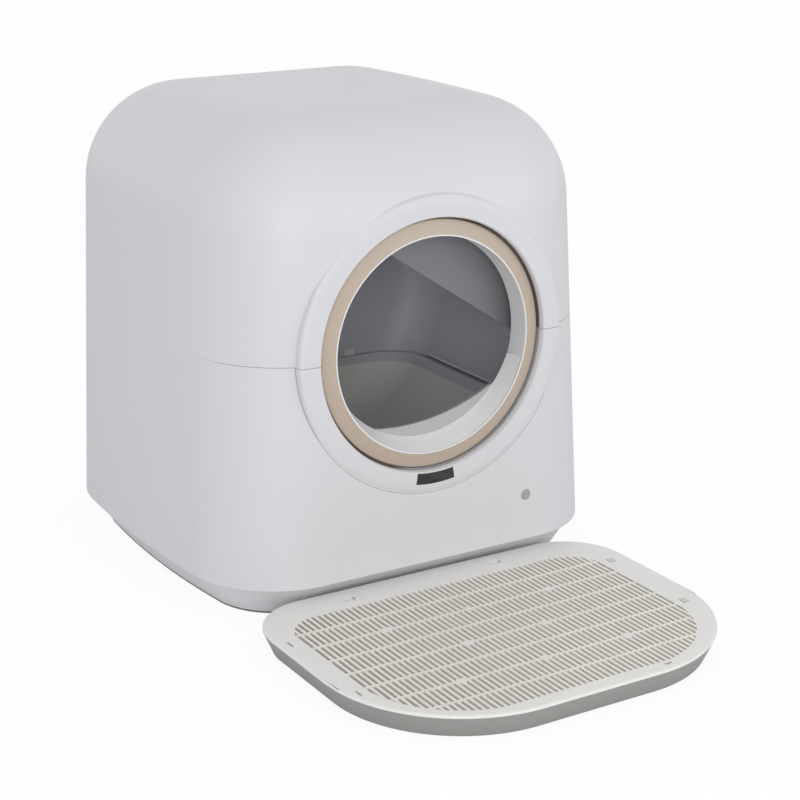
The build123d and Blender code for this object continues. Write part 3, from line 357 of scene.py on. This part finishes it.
def elastomer(name, rgb, roughness=0.7):
    """Moulded rubber or silicone: dull, with a fine bloom that lightens it in patches."""
    material, tree, shader = new_material(name)
    place = add_node(tree, "ShaderNodeTexCoord").outputs["Object"]
    bloom = add_node(tree, "ShaderNodeTexNoise", Vector=place, Scale=1000 / 18, Detail=5.0, Roughness=0.65)
    tint = add_node(tree, "ShaderNodeMix", BLEND, in0=bloom.outputs["Fac"],
                    in6=shade(rgb, 0.85) + (1,), in7=shade(rgb, 1.25) + (1,))
    tree.links.new(tint.outputs[2], shader.inputs["Base Color"])
    pores = add_node(tree, "ShaderNodeTexNoise", Vector=place, Scale=1000 / 0.8, Detail=2.0)
    bump = add_node(tree, "ShaderNodeBump", Strength=0.4, Distance=0.03 * MM, Height=pores.outputs["Fac"])
    tree.links.new(bump.outputs["Normal"], shader.inputs["Normal"])
    shader.inputs["Roughness"].default_value = roughness
    shader.inputs["IOR"].default_value = 1.52
    return material


def ground_steel(name):
    """Centreless-ground steel rod: fine rings of grinding marks round the rod, along Y."""
    material, tree, shader = new_material(name)
    place = add_node(tree, "ShaderNodeTexCoord").outputs["Object"]
    lines = add_node(tree, "ShaderNodeMapping", {"vector_type": "POINT"}, Vector=place,
                     Scale=(20, 2500, 20))
    marks = add_node(tree, "ShaderNodeTexNoise", Vector=lines.outputs[0], Scale=1.0, Detail=3.0)
    shade = add_node(tree, "ShaderNodeMix", BLEND, in0=marks.outputs["Fac"],
                     in6=linear("#8E9093") + (1,), in7=linear("#B4B6B8") + (1,))
    tree.links.new(shade.outputs[2], shader.inputs["Base Color"])
    rough = add_node(tree, "ShaderNodeMapRange", Value=marks.outputs["Fac"], To_Min=0.22, To_Max=0.40)
    tree.links.new(rough.outputs["Result"], shader.inputs["Roughness"])
    shader.inputs["Metallic"].default_value = 1.0
    return material


def zinc_plate(name):
    """Bright zinc plating on a screw: pale metal with a faint blue cast and cloudy patches."""
    material, tree, shader = new_material(name)
    place = add_node(tree, "ShaderNodeTexCoord").outputs["Object"]
    cloud = add_node(tree, "ShaderNodeTexNoise", Vector=place, Scale=1000 / 2, Detail=3.0)
    shade = add_node(tree, "ShaderNodeMix", BLEND, in0=cloud.outputs["Fac"],
                     in6=linear("#9DA3AB") + (1,), in7=linear("#C9CDD2") + (1,))
    tree.links.new(shade.outputs[2], shader.inputs["Base Color"])
    rough = add_node(tree, "ShaderNodeMapRange", Value=cloud.outputs["Fac"], To_Min=0.28, To_Max=0.45)
    tree.links.new(rough.outputs["Result"], shader.inputs["Roughness"])
    shader.inputs["Metallic"].default_value = 1.0
    return material


def enamelled_steel(name, rgb):
    """Stove-enamelled steel can: smooth dark paint with a slight orange peel."""
    material, tree, shader = new_material(name)
    place = add_node(tree, "ShaderNodeTexCoord").outputs["Object"]
    peel = add_node(tree, "ShaderNodeTexNoise", Vector=place, Scale=1000 / 1.5, Detail=1.0)
    tint = add_node(tree, "ShaderNodeMix", BLEND, in0=peel.outputs["Fac"],
                    in6=shade(rgb, 0.94) + (1,), in7=shade(rgb, 1.06) + (1,))
    tree.links.new(tint.outputs[2], shader.inputs["Base Color"])
    bump = add_node(tree, "ShaderNodeBump", Strength=0.3, Distance=0.03 * MM, Height=peel.outputs["Fac"])
    tree.links.new(bump.outputs["Normal"], shader.inputs["Normal"])
    shader.inputs["Roughness"].default_value = 0.32
    shader.inputs["Coat Weight"].default_value = 0.4
    return material


def solder_mask(name):
    """Green solder mask over copper tracks, 0.5 mm wide, on a laminate board."""
    material, tree, shader = new_material(name)
    place = add_node(tree, "ShaderNodeTexCoord").outputs["Object"]
    tracks = add_node(tree, "ShaderNodeTexBrick", {"offset": 0.5, "squash": 1.0}, Vector=place,
                      Scale=1000 / 2.5, Mortar_Size=0.08, Color1=linear("#1E5A38") + (1,),
                      Color2=linear("#1A5132") + (1,), Mortar=linear("#2F7A4D") + (1,))
    tree.links.new(tracks.outputs["Color"], shader.inputs["Base Color"])
    bump = add_node(tree, "ShaderNodeBump", Strength=0.3, Distance=0.03 * MM, Height=tracks.outputs["Fac"])
    tree.links.new(bump.outputs["Normal"], shader.inputs["Normal"])
    shader.inputs["Roughness"].default_value = 0.35
    return material


def dress(material, *names):
    """Gives CAD nodes their finish."""
    for name in names:
        mesh = NODES[name].data
        if not mesh.materials:
            mesh.materials.append(material)
        for index in range(len(mesh.materials)):
            mesh.materials[index] = material


def finish_piece(bm, name, materials, body, smooth=30):
    """Turns a bmesh into a piece that rides on a body, its faces numbered by material."""
    bmesh.ops.recalc_face_normals(bm, faces=bm.faces)
    mesh = bpy.data.meshes.new(name)
    bm.to_mesh(mesh)
    bm.free()
    for material in materials:
        mesh.materials.append(material)
    piece = bpy.data.objects.new(name, mesh)
    bpy.context.scene.collection.objects.link(piece)
    mesh.set_sharp_from_angle(angle=math.radians(smooth))
    for polygon in mesh.polygons:
        polygon.use_smooth = True
    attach(piece, body)
    return piece


def block(bm, centre, size, round_by):
    """Adds a block to a bmesh, with its upright edges rounded."""
    made = bmesh.ops.create_cube(bm, size=1.0)
    bmesh.ops.scale(bm, vec=size, verts=made["verts"])
    bmesh.ops.translate(bm, vec=centre, verts=made["verts"])
    upright = {e for v in made["verts"] for e in v.link_edges
               if abs(e.verts[0].co.z - e.verts[1].co.z) > size[2] / 2}
    if round_by:
        bmesh.ops.bevel(bm, geom=list(upright), offset=round_by, offset_type="OFFSET", segments=4,
                        profile=0.5, affect="EDGES", material=-1)


def cut_out(piece, cutters):
    """Cuts a bmesh of blocks out of a piece."""
    mesh = bpy.data.meshes.new("cutters")
    cutters.to_mesh(mesh)
    cutters.free()
    tool = bpy.data.objects.new("cutters", mesh)
    bpy.context.scene.collection.objects.link(tool)
    cut = piece.modifiers.new("clip_slots", "BOOLEAN")
    cut.solver = "EXACT"
    cut.object = tool
    bpy.context.view_layer.update()
    old = piece.data
    piece.data = bpy.data.meshes.new_from_object(piece.evaluated_get(bpy.context.evaluated_depsgraph_get()))
    piece.modifiers.clear()
    bpy.data.objects.remove(tool)
    bpy.data.meshes.remove(mesh)
    bpy.data.meshes.remove(old)


# ---------------------------------------------------------------- operators
class LITTERBOX_OT_housing(bpy.types.Operator):
    """Dress the housing: cover, body, bezel, drawer panel, base and its rubber rim"""
    bl_idname = "litterbox.housing"
    bl_label = "Housing"

    def execute(self, context):
        look = context.scene.litterbox_colours
        joint = shade(look.housing, JOINT_SHADE)
        shell = moulded_plastic("satin_abs_housing", look.housing, 0.42, zones=((housing_seams, joint),))
        dress(shell, "upper_cover", "lower_body", "lower_bezel", "drawer_panel")
        dress(moulded_plastic("satin_abs_base", look.base, 0.48), "base_pan")
        dress(elastomer("rubber_foot", linear("#6E6E70")), "foot_rim")
        return {"FINISHED"}


class LITTERBOX_OT_entrance(bpy.types.Operator):
    """Dress what surrounds the entrance: trim ring, felt seal, display window, button and switch"""
    bl_idname = "litterbox.entrance"
    bl_label = "Entrance"

    def execute(self, context):
        look = context.scene.litterbox_colours
        dress(moulded_plastic("satin_abs_tan", look.trim, 0.36, tone=0.012), "trim_ring")
        dress(needle_felt("needle_felt_brown", look.felt, look.shaded_bore_grey), "seal_ring")
        dress(smoked_acrylic("smoked_acrylic", look.window), "display_window")
        dress(moulded_plastic("gloss_abs_button", look.button, 0.25, grain=0.8, depth=0.004),
              "control_button")
        dress(moulded_plastic("black_nylon_switch", linear("#26272A"), 0.5), "switch_block")
        return {"FINISHED"}


class LITTERBOX_OT_drum(bpy.types.Operator):
    """Dress the drum, its fence, guard, sieve, liner and wiper"""
    bl_idname = "litterbox.drum"
    bl_label = "Drum"

    def execute(self, context):
        look = context.scene.litterbox_colours
        dress(moulded_plastic("satin_pp_drum", look.drum, 0.5), "drum_shell")
        dress(moulded_plastic("satin_pp_guard", look.guard, 0.5), "guard_plate", "sieve_grate")
        dress(moulded_plastic("satin_pp_mouth", look.mouth, 0.42), "drum_mouth")
        # the fence's upright face takes painted shade
        dress(moulded_plastic("satin_pp_fence", look.mouth, 0.42, zones=((fence_face_shade, look.fence),)),
              "litter_fence")
        dress(moulded_plastic("matt_pp_liner", look.liner, 0.6, grain=0.6, depth=0.03,
                              zones=((liner_band, look.drum),)), "drum_liner")
        bm = bmesh.new()
        block(bm, (0, 0, 0), LINER_TAB, LINER_TAB_ROUND)
        turn = Matrix.Translation(LINER_TAB_PLACE) @ Matrix.Rotation(math.pi / 2, 4, "X")
        bmesh.ops.transform(bm, matrix=turn, verts=bm.verts)
        tab = moulded_plastic("matt_pp_tab", look.liner, 0.6)
        finish_piece(bm, "liner_tab", (tab,), "drum")
        # painted shadow along the wiper's lower edge and painted highlight above it
        lines = ((wiper_slit_shadow, shade(look.drum, SLIT_SHADOW)), (wiper_edge_highlight, shade(look.drum, EDGE_HIGHLIGHT)))
        dress(moulded_plastic("soft_tpe_wiper", look.drum, 0.6, zones=lines), "wiper_strip")
        return {"FINISHED"}


class LITTERBOX_OT_drive(bpy.types.Operator):
    """Dress the gears, shaft, motor, rollers and their brackets"""
    bl_idname = "litterbox.drive"
    bl_label = "Drive"

    def execute(self, context):
        dress(moulded_plastic("acetal_gear", linear("#E4E1D6"), 0.38, tone=0.015),
              "ring_gear", "drive_pinion")
        dress(ground_steel("ground_steel"), "pinion_shaft", "roller_axles")
        dress(enamelled_steel("enamelled_motor", linear("#4A4C4F")), "gear_motor")
        corners = [f"{end}_{hand}" for end in ("front", "rear") for hand in ("left", "right")]
        dress(moulded_plastic("glass_filled_nylon", linear("#707276"), 0.55, grain=0.7, depth=0.04),
              "motor_bracket", *(f"roller_bracket_{corner}" for corner in corners))
        dress(elastomer("rubber_roller", linear("#3A3A3B"), 0.65),
              *(f"roller_{corner}" for corner in corners))
        return {"FINISHED"}


class LITTERBOX_OT_drawer(bpy.types.Operator):
    """Dress the waste drawer and its rails"""
    bl_idname = "litterbox.drawer"
    bl_label = "Waste drawer"

    def execute(self, context):
        look = context.scene.litterbox_colours
        dress(moulded_plastic("satin_pp_drawer", look.drawer, 0.5), "waste_drawer")
        dress(moulded_plastic("acetal_rail", linear("#DDDCD6"), 0.4), "drawer_rails")
        return {"FINISHED"}


class LITTERBOX_OT_electrics(bpy.types.Operator):
    """Dress the boards, their standoffs and the plug socket"""
    bl_idname = "litterbox.electrics"
    bl_label = "Electrics"

    def execute(self, context):
        dress(solder_mask("solder_mask_green"), "control_board", "display_board")
        dress(moulded_plastic("nylon_standoff", linear("#DDDCD6"), 0.5), "board_standoffs")
        dress(moulded_plastic("black_abs_socket", linear("#1F2022"), 0.35), "power_inlet")
        return {"FINISHED"}


def add_screw(bm, place, towards, radius):
    """Adds a pan-head screw with a round recess, its seat at place and its head facing towards."""
    made = bmesh.ops.create_cone(bm, cap_ends=True, segments=20, radius1=radius,
                                 radius2=radius * HEAD_TOP, depth=radius * HEAD_HEIGHT)
    verts = made["verts"]
    crown = max((f for v in verts for f in v.link_faces if len(f.verts) > 4),
                key=lambda f: f.calc_center_median().z)
    bmesh.ops.bevel(bm, geom=list(crown.edges), offset=radius * HEAD_ROUND, offset_type="OFFSET",
                    segments=3, profile=0.5, affect="EDGES", material=-1)
    crown = max((f for f in bm.faces if len(f.verts) > 4 and f.normal.z > 0.9
                 and f.calc_center_median().length < radius), key=lambda f: f.calc_center_median().z)
    bmesh.ops.inset_individual(bm, faces=[crown], thickness=radius * RECESS_RING, depth=0.0)
    bmesh.ops.inset_individual(bm, faces=[crown], thickness=radius * RECESS_SLOPE,
                               depth=-radius * RECESS_DEPTH)
    island = {crown.verts[0]}
    front = set(island)
    while front:
        front = {w for v in front for e in v.link_edges for w in e.verts} - island
        island |= front
    turn = Vector(towards).to_track_quat("Z", "Y").to_matrix().to_4x4()
    move = Matrix.Translation(place) @ turn @ Matrix.Translation((0, 0, radius * HEAD_HEIGHT / 2))
    bmesh.ops.transform(bm, matrix=move, verts=list(island))


class LITTERBOX_OT_fasteners(bpy.types.Operator):
    """Add the screws of the brackets, the gear motor and the control board"""
    bl_idname = "litterbox.fasteners"
    bl_label = "Fasteners"

    def execute(self, context):
        steel = zinc_plate("zinc_plated_screw")
        bm = bmesh.new()
        for end in ("front", "rear"):
            for hand, side in (("left", -1), ("right", 1)):
                low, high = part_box(f"roller_bracket_{end}_{hand}")
                edge = high.x if side > 0 else -low.x
                for reach in BRACKET_SCREWS:
                    place = (side * (edge - reach), (low.y + high.y) / 2, low.z + BRACKET_FOOT)
                    add_screw(bm, place, (0, 0, 1), FOOT_HEAD)
        low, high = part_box("motor_bracket")
        for reach in MOTOR_FOOT_SCREWS:
            place = (high.x - reach, high.y - MOTOR_FOOT_BACK, low.z + BRACKET_FOOT)
            add_screw(bm, place, (0, 0, 1), FOOT_HEAD)
        plate = low.y
        low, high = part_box("gear_motor")
        for x in (low.x + MOTOR_FACE_SCREW, high.x - MOTOR_FACE_SCREW):
            for z in (low.z + MOTOR_FACE_SCREW, high.z - MOTOR_FACE_SCREW):
                add_screw(bm, (x, plate, z), (0, -1, 0), FACE_HEAD)
        low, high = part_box("board_standoffs")
        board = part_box("control_board")[0].z + BOARD_THICK
        for x in (low.x + BOARD_SCREW, high.x - BOARD_SCREW):
            for y in (low.y + BOARD_SCREW, high.y - BOARD_SCREW):
                add_screw(bm, (x, y, board), (0, 0, 1), BOARD_HEAD)
        finish_piece(bm, "steel_screws", (steel,), "housing", smooth=35)
        return {"FINISHED"}


class Outline:
    """Rounded rectangle in plan, with one radius at its front corners and one at its back corners."""

    def __init__(self, middle, size, front, back):
        self.x, self.y = middle
        self.half_x, self.half_y = size[0] / 2, size[1] / 2
        self.front, self.back = front, back

    def reach(self, x, radius):
        """How far it reaches from its middle line at x, where its corners have this radius."""
        over = max(0.0, min(abs(x - self.x), self.half_x) - (self.half_x - radius))
        return self.half_y - radius + math.sqrt(max(0.0, radius * radius - over * over))

    def ends(self, x):
        """Its front and its back at x, or at its side where x lies past that."""
        return self.y - self.reach(x, self.front), self.y + self.reach(x, self.back)


def slot_edges(middle, half, count, rib):
    """Both edges of each of count slots in a row, with ribs between them and half a rib at each end."""
    pitch = 2 * half / count
    return [middle - half + pitch * k + side for k in range(count) for side in (rib / 2, pitch - rib / 2)]


def corner_lines(half_x, radius):
    """Where lines cross a rounded corner, from the side inwards, at least MARGIN apart."""
    bends = [half_x]
    for step in range(1, CORNER_TURN // CORNER_STEP + 1):
        x = half_x - radius * (1 - math.cos(math.radians(CORNER_STEP * step)))
        if x < bends[-1] - MARGIN:
            bends.append(x)
    return bends


def slotted_sheet(mat, field, sizes, middle, top):
    """Flat sheet in the mat's outline with the field's slots cut out of it.

    Its lines run along the edges of the slots and bend in at the field's corners. The faces in
    the field take the second material.
    """
    across = slot_edges(field.x, field.half_x, sizes.columns, sizes.rib)
    bends = corner_lines(mat.half_x, sizes.front_corner)
    before = [-x for x in bends if -x < across[0] - BEND_CLEAR]
    after = [x for x in reversed(bends) if x > across[-1] + BEND_CLEAR]
    across = before + across + after
    along = slot_edges(field.y, field.half_y, sizes.rows, sizes.cross_rib)
    last = len(along) + 1

    bm = bmesh.new()
    bmesh.ops.create_grid(bm, x_segments=len(across) - 1, y_segments=last, size=1.0)
    columns = {x: i for i, x in enumerate(sorted({round(v.co.x, 5) for v in bm.verts}))}
    lines = {y: j for j, y in enumerate(sorted({round(v.co.y, 5) for v in bm.verts}))}
    cell = {}
    for vert in bm.verts:
        i, j = cell[vert] = columns[round(vert.co.x, 5)], lines[round(vert.co.y, 5)]
        x = across[i]
        front, back = mat.ends(x)
        if j == 0:
            y = front
        elif j == last:
            y = back
        else:
            field_front, field_back = field.ends(x)
            y = min(max(along[j - 1], field_front), field_back)
            if abs(x - field.x) > field.half_x:
                y = min(max(y, front + MARGIN), back - MARGIN)
        vert.co = (middle.x + x, middle.y + y, top)

    slots = []
    for face in bm.faces:
        column = min(cell[v][0] for v in face.verts) - len(before)
        line = min(cell[v][1] for v in face.verts)
        if not (0 <= column < 2 * sizes.columns - 1 and 0 < line < last - 1):
            continue
        face.material_index = 1
        tall = max(v.co.y for v in face.verts) - min(v.co.y for v in face.verts)
        if column % 2 == 0 and line % 2 == 1 and tall > SHORTEST_SLOT:
            slots.append(face)
    bmesh.ops.delete(bm, geom=slots, context="FACES")
    bmesh.ops.remove_doubles(bm, verts=bm.verts, dist=WELD)
    return bm


class LITTERBOX_OT_mat_grid(bpy.types.Operator):
    """Make the mat's slotted top, with its pads and clip slots, and dress the tray"""
    bl_idname = "litterbox.mat_grid"
    bl_label = "Mat grid"

    def execute(self, context):
        look = context.scene.litterbox_colours
        sizes = context.scene.litterbox_grid
        dress(moulded_plastic("satin_abs_tray", look.tray, 0.45), "mat_tray")
        resin = moulded_plastic("satin_abs_grid", look.grid, 0.45, grain=0.5)
        border = moulded_plastic("satin_abs_border", look.border, 0.45, grain=0.5)
        low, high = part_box("mat_grid")
        thick = high.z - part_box("mat_tray")[1].z
        middle = Vector(((low.x + high.x) / 2, (low.y + high.y) / 2, 0))
        mat = Outline((0, 0), (high.x - low.x, high.y - low.y), sizes.front_corner, sizes.back_corner)
        field = Outline(sizes.field_shift, (sizes.field_width, sizes.field_length),
                        sizes.field_front, sizes.field_back)

        bm = slotted_sheet(mat, field, sizes, middle, high.z)
        solid = bmesh.ops.extrude_face_region(bm, geom=list(bm.faces))
        lowered = [g for g in solid["geom"] if isinstance(g, bmesh.types.BMVert)]
        bmesh.ops.translate(bm, verts=lowered, vec=(0, 0, -thick))

        def on_rim(vert):
            """Whether a vertex lies on the outline of the top face."""
            x, y = vert.co.x - middle.x, vert.co.y - middle.y
            on_side = abs(x) > mat.half_x - OUTLINE_NEAR
            return vert.co.z > high.z - thick / 2 and (
                on_side or any(abs(y - end) < OUTLINE_NEAR for end in mat.ends(x)))

        rim = [e for e in bm.edges if all(on_rim(v) for v in e.verts) and len(e.link_faces) == 2
               and abs(e.link_faces[0].normal.z - e.link_faces[1].normal.z) > 0.5]
        bmesh.ops.bevel(bm, geom=rim, offset=RIM_ROUND, offset_type="OFFSET", segments=3, profile=0.5,
                        affect="EDGES", material=-1)
        grid = finish_piece(bm, "mat_grid_fine", (border, resin), "grid", smooth=40)
        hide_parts("mat_grid")

        cutters = bmesh.new()
        tabs = bmesh.new()
        for x, y, wide, deep, tab in CLIPS:
            x, y, wide, deep = middle.x + x * MM, middle.y + y * MM, wide * MM, deep * MM
            block(cutters, (x, y, high.z), (wide, deep, CLIP_DEPTH), 0)
            if tab:
                aside, back, drop = (way * MM for way in tab)
                size = (wide - CLIP_TAB_GAPS[0] - abs(aside), deep - CLIP_TAB_GAPS[1] - 2 * abs(back),
                        CLIP_TAB_THICK)
                block(tabs, (x + aside, y + back, high.z - drop - CLIP_TAB_THICK / 2), size, CLIP_TAB_ROUND)
        cut_out(grid, cutters)

        for x, y in PADS:
            place = (middle.x + PAD_MIDDLE[0] + x * MM, middle.y + PAD_MIDDLE[1] + y * MM,
                     high.z + (PAD_RISE - PAD_SINK - thick) / 2)
            block(tabs, place, (PAD_SIZE, PAD_SIZE, thick + PAD_RISE + PAD_SINK), PAD_ROUND)
        finish_piece(tabs, "mat_grid_pads", (border,), "grid")
        return {"FINISHED"}


class LITTERBOX_OT_stage(bpy.types.Operator):
    """Set the studio: pale floor, soft light and the camera"""
    bl_idname = "litterbox.stage"
    bl_label = "Studio"

    def execute(self, context):
        studio = context.scene.litterbox_studio
        scene = context.scene
        scene.view_settings.view_transform = "Standard"

        bm = bmesh.new()
        bmesh.ops.create_grid(bm, x_segments=1, y_segments=1, size=FLOOR_HALF)
        mesh = bpy.data.meshes.new("studio_floor")
        bm.to_mesh(mesh)
        bm.free()
        floor = bpy.data.objects.new("studio_floor", mesh)
        scene.collection.objects.link(floor)
        paper = bpy.data.materials.new("white_paper_floor")
        paper.use_nodes = True
        tree = paper.node_tree
        tree.nodes.clear()
        path = add_node(tree, "ShaderNodeLightPath")
        seen = add_node(tree, "ShaderNodeMath", PRODUCT, in0=path.outputs["Is Camera Ray"], in1=PAPER_WHITE)
        matt = add_node(tree, "ShaderNodeBsdfDiffuse", Color=linear("#EFEFEF") + (1,))
        white = add_node(tree, "ShaderNodeEmission", Color=linear("#FFFFFF") + (1,), Strength=PAPER_GLOW)
        blend = add_node(tree, "ShaderNodeMixShader", in0=seen.outputs[0], in1=matt.outputs[0],
                         in2=white.outputs[0])
        add_node(tree, "ShaderNodeOutputMaterial", Surface=blend.outputs[0])
        mesh.materials.append(paper)

        world = bpy.data.worlds.new("studio_sky")
        scene.world = world
        world.use_nodes = True
        tree = world.node_tree
        tree.nodes.clear()
        path = add_node(tree, "ShaderNodeLightPath")
        shown = add_node(tree, "ShaderNodeMath", LARGER, in0=path.outputs["Is Camera Ray"],
                         in1=path.outputs["Is Transmission Ray"])
        shown = add_node(tree, "ShaderNodeMath", LARGER, in0=shown.outputs[0],
                         in1=path.outputs["Is Glossy Ray"])
        dim = add_node(tree, "ShaderNodeBackground", Color=linear("#FCFDFF") + (1,), Strength=studio.sky)
        bright = add_node(tree, "ShaderNodeBackground", Color=linear("#FFFFFF") + (1,), Strength=1.0)
        mixed = add_node(tree, "ShaderNodeMixShader", in0=shown.outputs[0], in1=dim.outputs[0],
                         in2=bright.outputs[0])
        add_node(tree, "ShaderNodeOutputWorld", Surface=mixed.outputs[0])

        for name, setting, place, size in LAMPS:
            lamp = bpy.data.lights.new(name, "AREA")
            lamp.energy = getattr(studio, setting)
            lamp.shape = "SQUARE"
            lamp.size = size
            lit = bpy.data.objects.new(name, lamp)
            aim = Vector(LAMP_AIM) - Vector(place)
            lit.matrix_world = Matrix.Translation(place) @ aim.to_track_quat("-Z", "Y").to_matrix().to_4x4()
            scene.collection.objects.link(lit)

        lens = bpy.data.cameras.new("camera")
        lens.lens = studio.lens
        lens.sensor_width = 36.0
        camera = bpy.data.objects.new("camera", lens)
        camera.location = CAMERA_PLACE
        camera.rotation_euler = CAMERA_TURN
        scene.collection.objects.link(camera)
        scene.camera = camera
        return {"FINISHED"}


class LITTERBOX_PT_panel(bpy.types.Panel):
    """Panel that lists the steps"""
    bl_label = "Litter box"
    bl_idname = "LITTERBOX_PT_panel"
    bl_space_type = "VIEW_3D"
    bl_region_type = "UI"
    bl_category = "Litter box"

    def draw(self, context):
        for step in STEPS:
            self.layout.operator(step.bl_idname)
        scene = context.scene
        for group in (scene.litterbox_colours, scene.litterbox_grid, scene.litterbox_studio):
            for key in group.bl_rna.properties.keys():
                if key not in ("rna_type", "name"):
                    self.layout.prop(group, key)


STEPS = (
    LITTERBOX_OT_stage,
    LITTERBOX_OT_housing,
    LITTERBOX_OT_entrance,
    LITTERBOX_OT_drum,
    LITTERBOX_OT_drive,
    LITTERBOX_OT_drawer,
    LITTERBOX_OT_electrics,
    LITTERBOX_OT_fasteners,
    LITTERBOX_OT_mat_grid,
)
CLASSES = (LitterBoxColours, MatGridSizes, StudioSettings) + STEPS + (LITTERBOX_PT_panel,)


def register():
    """Registers the classes and the scene's settings."""
    for cls in CLASSES:
        bpy.utils.register_class(cls)
    bpy.types.Scene.litterbox_colours = PointerProperty(type=LitterBoxColours)
    bpy.types.Scene.litterbox_grid = PointerProperty(type=MatGridSizes)
    bpy.types.Scene.litterbox_studio = PointerProperty(type=StudioSettings)


def unregister():
    """Removes the settings and the classes."""
    del bpy.types.Scene.litterbox_colours
    del bpy.types.Scene.litterbox_grid
    del bpy.types.Scene.litterbox_studio
    for cls in reversed(CLASSES):
        bpy.utils.unregister_class(cls)


def main():
    """Dresses the part step by step."""
    register()
    for step in STEPS:
        group, name = step.bl_idname.split(".")
        getattr(getattr(bpy.ops, group), name)()


if __name__ == "__main__":
    main()
